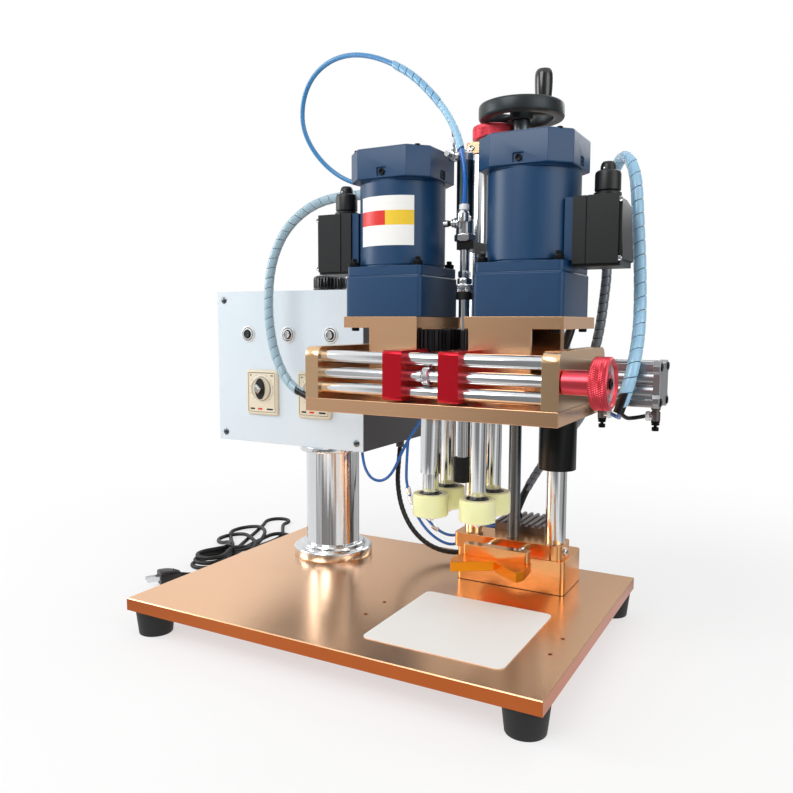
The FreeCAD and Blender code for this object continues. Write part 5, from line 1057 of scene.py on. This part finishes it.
def makePresser():
    p = presser
    part = Shape()
    top = p["arm"][1]
    part.box((p["armX"][0], p["armY"][0], p["arm"][0]), (p["armX"][1], p["armY"][1] + 1, top))
    part.box((-p["postX"], p["postY"][0], p["postZ"][0]), (p["postX"], p["postY"][1], p["postZ"][1]))
    low, high = p["barrel"]
    part.coat = 4
    part.rod(Matrix(), p["radius"] - 0.3, low - 1, high + 1, 56)
    part.coat = 1
    part.lathe(Matrix(), [(0, top), (p["radius"], top), (p["radius"], low - 0.8), (p["radius"] - 0.6, low),
                          (0, low)], 56)
    part.lathe(Matrix(), [(0, high), (8.2, high), (8.6, high + 0.6), (8.6, high + 8), (7.6, high + 9.5),
                          (4.4, high + 9.5), (4.4, high + 11.5), (0, high + 11.5)], 48)
    part.nut(at(0, 0, top, "z", 12), 11.6, 8, 9)
    # port at the foot: banjo, collar, inlet and the screw of its valve
    x, y, z = p["port"]
    part.lathe(at(x - 1.3, y, z), [(0, 0), (6.0, 0), (6.6, 0.8), (6.6, 8.5), (5.6, 11.5), (4.6, 12.6), (0, 12.6)], 40)
    part.rod(at(x, y, z + 4.5, "y"), 4.6, 0, 8, 24)
    part.lathe(at(x - 5, y, z - 0.5, "-x"), [(0, 0), (5.2, 0), (5.2, 1.8), (3.2, 2.2), (3.2, 3.2), (5.4, 3.6),
        (5.4, 5.0), (3.2, 5.4), (3.2, 6.4), (4.4, 6.8), (4.4, 8.0), (0, 8.0)], 32)
    part.lathe(at(x - 17.4, y, z - 0.5, "-x"), [(0, 0), (3.2, 0), (3.6, 0.5), (3.6, 4.8), (3, 5.6), (0, 5.6)], 28)
    part.coat = 3
    part.lathe(at(x - 12.8, y, z - 0.5, "-x"), [(0, -0.5), (2.4, -0.5), (2.4, 1.4), (2.9, 1.8), (2.9, 3.2),
        (2.4, 3.6), (2.4, 4.8), (0, 4.8)], 24)
    part.coat = 2
    part.lathe(at(x, y, z + 12.4), [(2.65, 0), (5.2, 0), (5.2, 4.6), (4.6, 5.8), (2.65, 5.8)], 28, loop=True)
    # port at the top: elbow, valve screw and collar
    side = p["topPort"]
    part.coat = 1
    part.lathe(at(side, 0, high + 2), [(0, 0), (4.8, 0), (5.2, 0.6), (5.2, 12), (4.2, 13.4), (4.2, 18), (0, 18)], 32)
    part.rod(at(side, 0, high + 7, "x"), 4.6, 2, 9, 28)
    valve = side - 0.6
    part.lathe(at(valve, -3, high + 7, "-y"), [(0, 0), (4.2, 0), (4.2, 3.4), (2.6, 3.8), (2.6, 4.8), (0, 4.8)], 28)
    part.lathe(at(valve, -11.6, high + 7, "-y"), [(0, 0), (3.2, 0), (3.5, 0.5), (3.5, 4.4), (3, 5.2), (0, 5.2)], 28)
    part.coat = 3
    part.rod(at(valve, -7.6, high + 7, "-y"), 2.1, -0.5, 4.2, 20)
    part.coat = 2
    part.lathe(at(side, 0, high + 18), [(1.65, 0), (4.2, 0), (4.2, 7), (3.4, 8.4), (1.65, 8.4)], 28, loop=True)
    place("presserCylinder", part, "carriage", "black_anodised", ["blackAnodised", "bright", "collar", "darkSteel",
                                                                  "stainless"], ["presser_cylinder"], 0.25)

    rod = Shape()
    foot, first, second, third, crown = p["coupling"]
    rod.lathe(Matrix(), [(0, p["rodFoot"]), (3.95, p["rodFoot"]), (3.95, p["pad"]), (6, p["pad"] + 0.4),
        (6, first - 1), (5, first - 1), (5, 468), (0, 468)], 48)
    rod.coat = 2
    rod.lathe(at(0, 0, foot), [(6.02, 0), (8.4, 0), (8.9, 0.6), (8.9, first - foot - 0.6), (8.4, first - foot),
                               (5.02, first - foot), (5.02, 4), (6.02, 4)], 48, loop=True)
    rod.coat = 1
    rod.lathe(at(0, 0, first), [(5.02, 0), (8.2, 0)] + [(8.9, 0.7 + 0.55 * i, knurl(0.5, 24, 0.9)) for i in range(13)]
              + [(8.2, second - first), (5.02, second - first)], 192, loop=True)
    rod.nut(at(0, 0, second, "z", 8), 8.0, third - second - 0.6, 5.02)
    rod.nut(at(0, 0, third, "z", 34), 7.0, crown - third, 5.02)
    place("presserRod", rod, "presser", "polished_steel", ["rod", "bright", "rubber"], ["presser_rod"])


makePresser()

# Gear motors: square gearbox, flange, barrel, cornered cover with screw recesses, terminal box and its gland
motor = {"x": 74.5, "floor": 340, "box": 46, "boxTop": 383.6, "flange": 45.0, "flangeTop": 393, "radius": 46.5,
         "coverZ": 483, "cover": 48, "cut": 19, "top": 515, "stud": 38.5, "recess": (11, 9, 2), "bossOut": 48.5,
         "boss": (-27.5, 17.5, 452)}


def makeMotor(name, side):
    m = motor
    part = Shape()
    spot = at(side * m["x"], 0, 0)
    rings = []
    for inset, level in ((0, m["floor"]), (0, m["boxTop"] - 2.2), (1.5, m["boxTop"] - 0.6), (1.5, m["boxTop"] + 0.2)):
        rings.append([spot @ Vector((*p, level)) for p in rounded(m["box"] - inset, m["box"] - inset, 5 - inset)])
    part.loft(rings)
    part.prism(spot, rounded(m["flange"], m["flange"], 5), m["boxTop"], m["flangeTop"])
    part.lathe(spot, [(0, m["flangeTop"] - 1), (m["radius"] - 1, m["flangeTop"] - 1),
                      (m["radius"] - 1, m["flangeTop"] + 1.2), (m["radius"], m["flangeTop"] + 2),
                      (m["radius"], m["coverZ"] - 2.4), (m["radius"] - 0.8, m["coverZ"] - 1.8),
                      (m["radius"] - 0.8, m["coverZ"] + 1), (0, m["coverZ"] + 1)], 96)
    near, far = sorted((side * (m["x"] + 40), side * (m["x"] + m["bossOut"])))
    front, back, bossTop = m["boss"]
    part.box((near, front, m["flangeTop"] + 0.3), (far, back, bossTop))
    part.coat = 1
    for i, j in corners:
        stud = spot @ at(i * m["stud"], j * m["stud"], m["flangeTop"])
        part.nut(stud, 5.8, 5.2, 2.8)
        part.lathe(stud, [(0, -0.5), (3.0, -0.5), (3.0, 8.2), (2.4, 9), (0, 9)], 20)
    place(f"gearMotor_{name}", part, f"{name}_unit", "motor_blue", ["navy", "darkSteel"], [f"gear_motor_{name}"], 0.5)

    # the cover: an eight-sided crown, one step in at the top, with a pocket for a screw in each broad side
    cover = Shape()
    rings = []
    for grow, level in ((0.6, m["coverZ"]), (0, m["coverZ"] + 0.8), (0, m["top"] - 2.4), (0.5, m["top"] - 1.0),
                        (1.6, m["top"] - 0.2), (3.0, m["top"]), (9.5, m["top"]), (10.3, m["top"] - 0.8)):
        full, short = m["cover"] - grow, m["cover"] - m["cut"] - grow * 0.42
        rings.append([spot @ Vector((x, y, level)) for x, y in (
            (short, full), (-short, full), (-full, short), (-full, -short), (-short, -full), (short, -full),
            (full, -short), (full, short))])
    cover.loft(rings)
    pockets, screws = Shape(), Shape()
    wide, high, deep = m["recess"]
    for quarter in range(4):
        turn = spot @ Matrix.Rotation(math.radians(90 * quarter), 4, "Z")
        face = turn @ at(0, -m["cover"] + deep, m["coverZ"] + 2 + high / 2, "-y")
        pockets.prism(face, rounded(wide / 2, high / 2, 1.2), 0, deep + 2)
        screws.screw(face, 3.3, 1.8)
        screws.screw(turn @ at(-36.2, -36.2, m["top"] - 1.5), 3.0, 2.4)
    place(f"motorCover_{name}", cover, f"{name}_unit", "motor_blue", ["navy"], [], 0.5, cut=pockets)
    place(f"coverScrews_{name}", screws, f"{name}_unit", "motor_blue", ["darkSteel"])


terminal = {"inner": 123, "outer": 170, "front": -30, "back": 20, "foot": 387, "top": 452.5, "lid": 4,
            "lidOuter": 166, "groove": 136, "screws": (393.5, 447), "glandY": -5,
            "glandX": {"left": -144, "right": 149}}


def makeTerminal(name, side):
    t = terminal
    part = Shape()
    foot, top, outer, front = t["foot"], t["top"], t["outer"], t["front"]
    profile = [(t["inner"], foot), (outer - 2.4, foot), (outer - 2.4, foot + 5), (outer, foot + 6),
        (outer - 3.5, top - 7), (outer - 8, top), (t["inner"], top)]
    middle = Vector((t["inner"], (foot + top) / 2))
    rings = []
    for y, inset in ((front + t["lid"], 0.6), (front + t["lid"] + 0.6, 0), (t["back"] - 0.8, 0), (t["back"], 0.8)):
        ring = []
        for x, z in profile:
            x = x - inset if x > t["inner"] else x
            z += inset if z < middle.y else -inset
            ring.append(Vector((side * x, y, z)))
        rings.append(ring)
    part.loft(rings)

    def slab(first, last, low, high, deep):
        near, far = sorted((side * first, side * last))
        part.box((near, front + (4 - deep), low), (far, front + t["lid"] + 0.5, high))

    slab(t["inner"], t["groove"] - 0.5, foot + 2.5, top, 3.7)
    slab(t["groove"] + 0.5, t["lidOuter"], foot + 2.5, top, 4.0)
    part.coat = 2
    slab(t["groove"] - 0.6, t["groove"] + 0.6, foot + 3, top - 0.4, 2.8)
    # a dark strip beside the lid's outer edge: painted shade in the gap at the lid's rounded corner
    slab(t["lidOuter"], t["lidOuter"] + 2.2, foot + 5, top - 5, 1.4)
    part.coat = 1
    for z in t["screws"]:
        part.screw(at(side * (t["lidOuter"] + 1.0), front + 2.6, z, "-y"), 2.5, 2.0, 4)
    part.coat = 0
    gland = at(t["glandX"][name], t["glandY"], top)
    part.lathe(gland, [(0, -0.5), (13, -0.5), (13, 4), (12.4, 4.6), (10.8, 4.8), (10.8, 5.6), (12.2, 6.4), (12.2, 21),
                       (11.6, 23.4), (9.6, 24.9), (7.4, 25.0), (7.2, 29), (6.4, 31.6), (5.0, 33.2), (0, 33.3)], 56)
    # a bright dot on the front of the gland's dome: a painted glint
    part.coat = 1
    part.lathe(gland @ at(-2, -5.6, 26.4, "-y"), [(0, 0), (1.3, 0), (1.0, 1.6), (0, 1.8)], 16)
    place(f"terminalBox_{name}", part, f"{name}_unit", "black_plastic", ["housing", "bright", "rubber"],
          [f"terminal_box_{name}"], 0.5)


for name, side in sides.items():
    makeMotor(name, side)
    makeTerminal(name, side)
print("motors made")

# Plain label on the left motor: white, with a red and a yellow band
label = {"radius": 46.72, "low": 414, "high": 465, "from": -38, "to": 43, "bandLow": 435, "bandHigh": 450, "split": 5}


def curvedPatch(shape, x, radius, first, last, low, high):
    count = 24
    angles = [math.radians(first + (last - first) * i / count) for i in range(count + 1)]
    rows = [[shape.mesh.verts.new(Vector((x + out * math.sin(a), -out * math.cos(a), level))) for a in angles]
            for level, out in ((low, radius - 0.3), (low, radius), (high, radius), (high, radius - 0.3))]
    for under, over in zip(rows, rows[1:] + rows[:1]):
        for i in range(len(under) - 1):
            shape.face([under[i], under[i + 1], over[i + 1], over[i]])
    for i in (0, -1):
        shape.face([row[i] for row in rows])


def makeLabel():
    patch = Shape()
    x = -motor["x"]
    curvedPatch(patch, x, label["radius"], label["from"], label["to"], label["low"], label["high"])
    patch.coat = 1
    curvedPatch(patch, x, label["radius"] + 0.06, label["from"], label["split"], label["bandLow"], label["bandHigh"])
    patch.coat = 2
    curvedPatch(patch, x, label["radius"] + 0.06, label["split"], label["to"], label["bandLow"], label["bandHigh"])
    place("motorLabel", patch, "left_unit", "motor_blue", ["labelWhite", "labelRed", "labelYellow"])


makeLabel()

# Gripper wheels: soft tyre on a dark hub, held by a steel nut
wheels = {"x": 27.2, "y": 21.7, "low": 127, "high": 151, "radius": 19.3, "hub": 12.2}


def makeWheels():
    w = wheels
    for name, side in sides.items():
        for row, way in (("front", -1), ("rear", 1)):
            wheel = Shape()
            spot = at(side * w["x"], way * w["y"], w["low"])
            tall = w["high"] - w["low"]
            wheel.lathe(spot, [(w["hub"], 0), (w["radius"] - 1.6, 0), (w["radius"] - 0.5, 0.5), (w["radius"], 1.6),
                               (w["radius"], tall - 1.6), (w["radius"] - 0.5, tall - 0.5), (w["radius"] - 1.6, tall),
                               (w["hub"], tall)], 56, loop=True)
            wheel.coat = 1
            wheel.lathe(spot, [(8.75, 0.4), (w["hub"] + 0.02, 0.4), (w["hub"] + 0.02, tall - 0.4), (11.4, tall + 0.6),
                               (8.75, tall + 0.6)], 40, loop=True)
            wheel.coat = 2
            wheel.nut(at(side * w["x"], way * w["y"], w["low"] - 3.2), 7.4, 3.4, 2.0)
            wheel.screw(at(side * w["x"], way * w["y"], w["low"] - 0.4, "-z"), 3.6, 5.4)
            place(f"gripperWheel_{name}_{row}", wheel, f"gripper_{name}_{row}", "wheel_urethane",
                  ["urethane", "nylon", "bright"], [f"gripper_wheel_{name}_{row}"])


makeWheels()
print("wheels made")

# Blocks at the foot of the mast, clamp bar and the grooved cylinder behind it
clamp = {"corner": 6, "lower": (-70, 73, 144, 218, 0, 42.4), "upper": (-75, 68, 145, 187, 42.4, 61),
    "slit": (54, 56, 153), "bar": (-46, 39, 108, 122, 45, 59), "rods": 22, "rodRadius": 5, "rodEnd": 226, "rodZ": 52,
    "ram": (34, 187, 251, 42.4, 72.4), "grooves": (-27, -18, -9, 0, 9, 18, 27), "topPort": (-17, 225, 77.4),
    "sidePort": (-39, 231, 57.4)}


def roundBlock(shape, extent, corner, slit=None):
    left, right, front, back, low, high = extent
    middle = Vector(((left + right) / 2, (front + back) / 2))
    outline = [tuple(middle + Vector(p)) for p in rounded((right - left) / 2, (back - front) / 2, corner, 6)]
    if slit:
        near, far, deep = slit
        third = 21                 # points in the first three corners
        outline[third:third] = [(near, front), (near, deep), (far, deep), (far, front)]
    shape.prism(Matrix(), outline, low, high)


def makeClamp():
    c = clamp
    for node, extent, slit in (("lower_block", c["lower"], None), ("upper_block", c["upper"], c["slit"])):
        block = Shape()
        roundBlock(block, extent, c["corner"], slit)
        if slit is None:
            left, right, front, back, low, high = extent
            # a dark band in the black rubber finish round the foot of the lower block: a painted contact shadow along
            # the plate
            block.coat = 1
            paintedShadowStrip = (left - 0.25, right + 0.25, front - 0.25, back + 0.25, low + 0.02, low + 0.75)
            roundBlock(block, paintedShadowStrip, c["corner"])
        name = "lowerBlock" if slit is None else "upperBlock"
        place(name, block, "frame", "copper_anodised", ["copperDeep", "rubber"], [node], 0.4)
    bar = Shape()
    roundBlock(bar, c["bar"], 4)
    bar.coat = 1
    for side in (-1, 1):
        bar.rod(at(side * c["rods"], c["bar"][3] - 1, c["rodZ"], "y"), c["rodRadius"], 0, c["rodEnd"] - c["bar"][3],
            32)
    place("clampBar", bar, "clamp_head", "copper_anodised", ["copperDeep", "rod"], ["clamp_bar"], 0.5)
    half, front, back, low, high = c["ram"]
    ram = Shape()
    outline = []
    tall = (high - low) / 2
    for x in c["grooves"]:
        outline += [(x - 2.6, -tall), (x - 2.2, -tall + 3.4), (x + 2.2, -tall + 3.4), (x + 2.6, -tall)]
    outline = [(-half, -tall)] + outline + [(half, -tall), (half, tall), (-half, tall)]
    ram.prism(at(0, front, (low + high) / 2, "y"), outline, 0, back - front)
    x, y, z = c["topPort"]
    ram.coat = 1
    ram.lathe(at(x, y, high - 3.6), [(0, 0), (6.8, 0, 6), (6.8, z - high + 1.6, 6), (5.4, z - high + 2.4),
                                     (5.4, z - high + 3.6), (0, z - high + 3.6)], 24)
    x, y, z = c["sidePort"]
    ram.lathe(at(-half + 0.5, y, z, "-x"), [(0, 0), (5.8, 0, 6), (5.8, 3.6, 6), (4.6, 4.2), (4.6, 5.5), (0, 5.5)], 24)
    place("clampCylinder", ram, "frame", "black_anodised", ["clampGrey", "darkSteel"], ["clamp_cylinder"], 0.4)


makeClamp()


# Screws of the plates and blocks
def makeFixings():
    bolts = Shape()
    for x in (-59, 59):
        bolts.screw(at(x, 151, 550, "-y"), 3.4, 2.0)
    place("frameScrews", bolts, "frame", "screw_steel", ["bright"])
    end = Shape()
    end.screw(at(68, 160, 52, "x"), 5.4, 3.8)
    # a green disc in the socket of the block screw: a painted reflection
    end.coat = 1
    end.rod(at(68.4, 160, 52, "x"), 3.0, 0, 2.4, 24)
    place("blockScrew", end, "frame", "screw_steel", ["bright", "socketGreenReflection"])
    bar = Shape()
    for x in (20, 26):
        bar.screw(at(x, 117, 58.8, "z"), 1.6, 1.2)
    place("barScrews", bar, "clamp_head", "screw_steel", ["bright"])
    for name, side in sides.items():
        unit = Shape()
        for x in (44, 112):
            for y in (-38, 56):
                unit.screw(at(side * x, y, 328.4, "-z"), 4.2, 4.0)
        place(f"unitScrews_{name}", unit, f"{name}_unit", "black_plastic", ["darkSteel"])


makeFixings()
print("screws made")
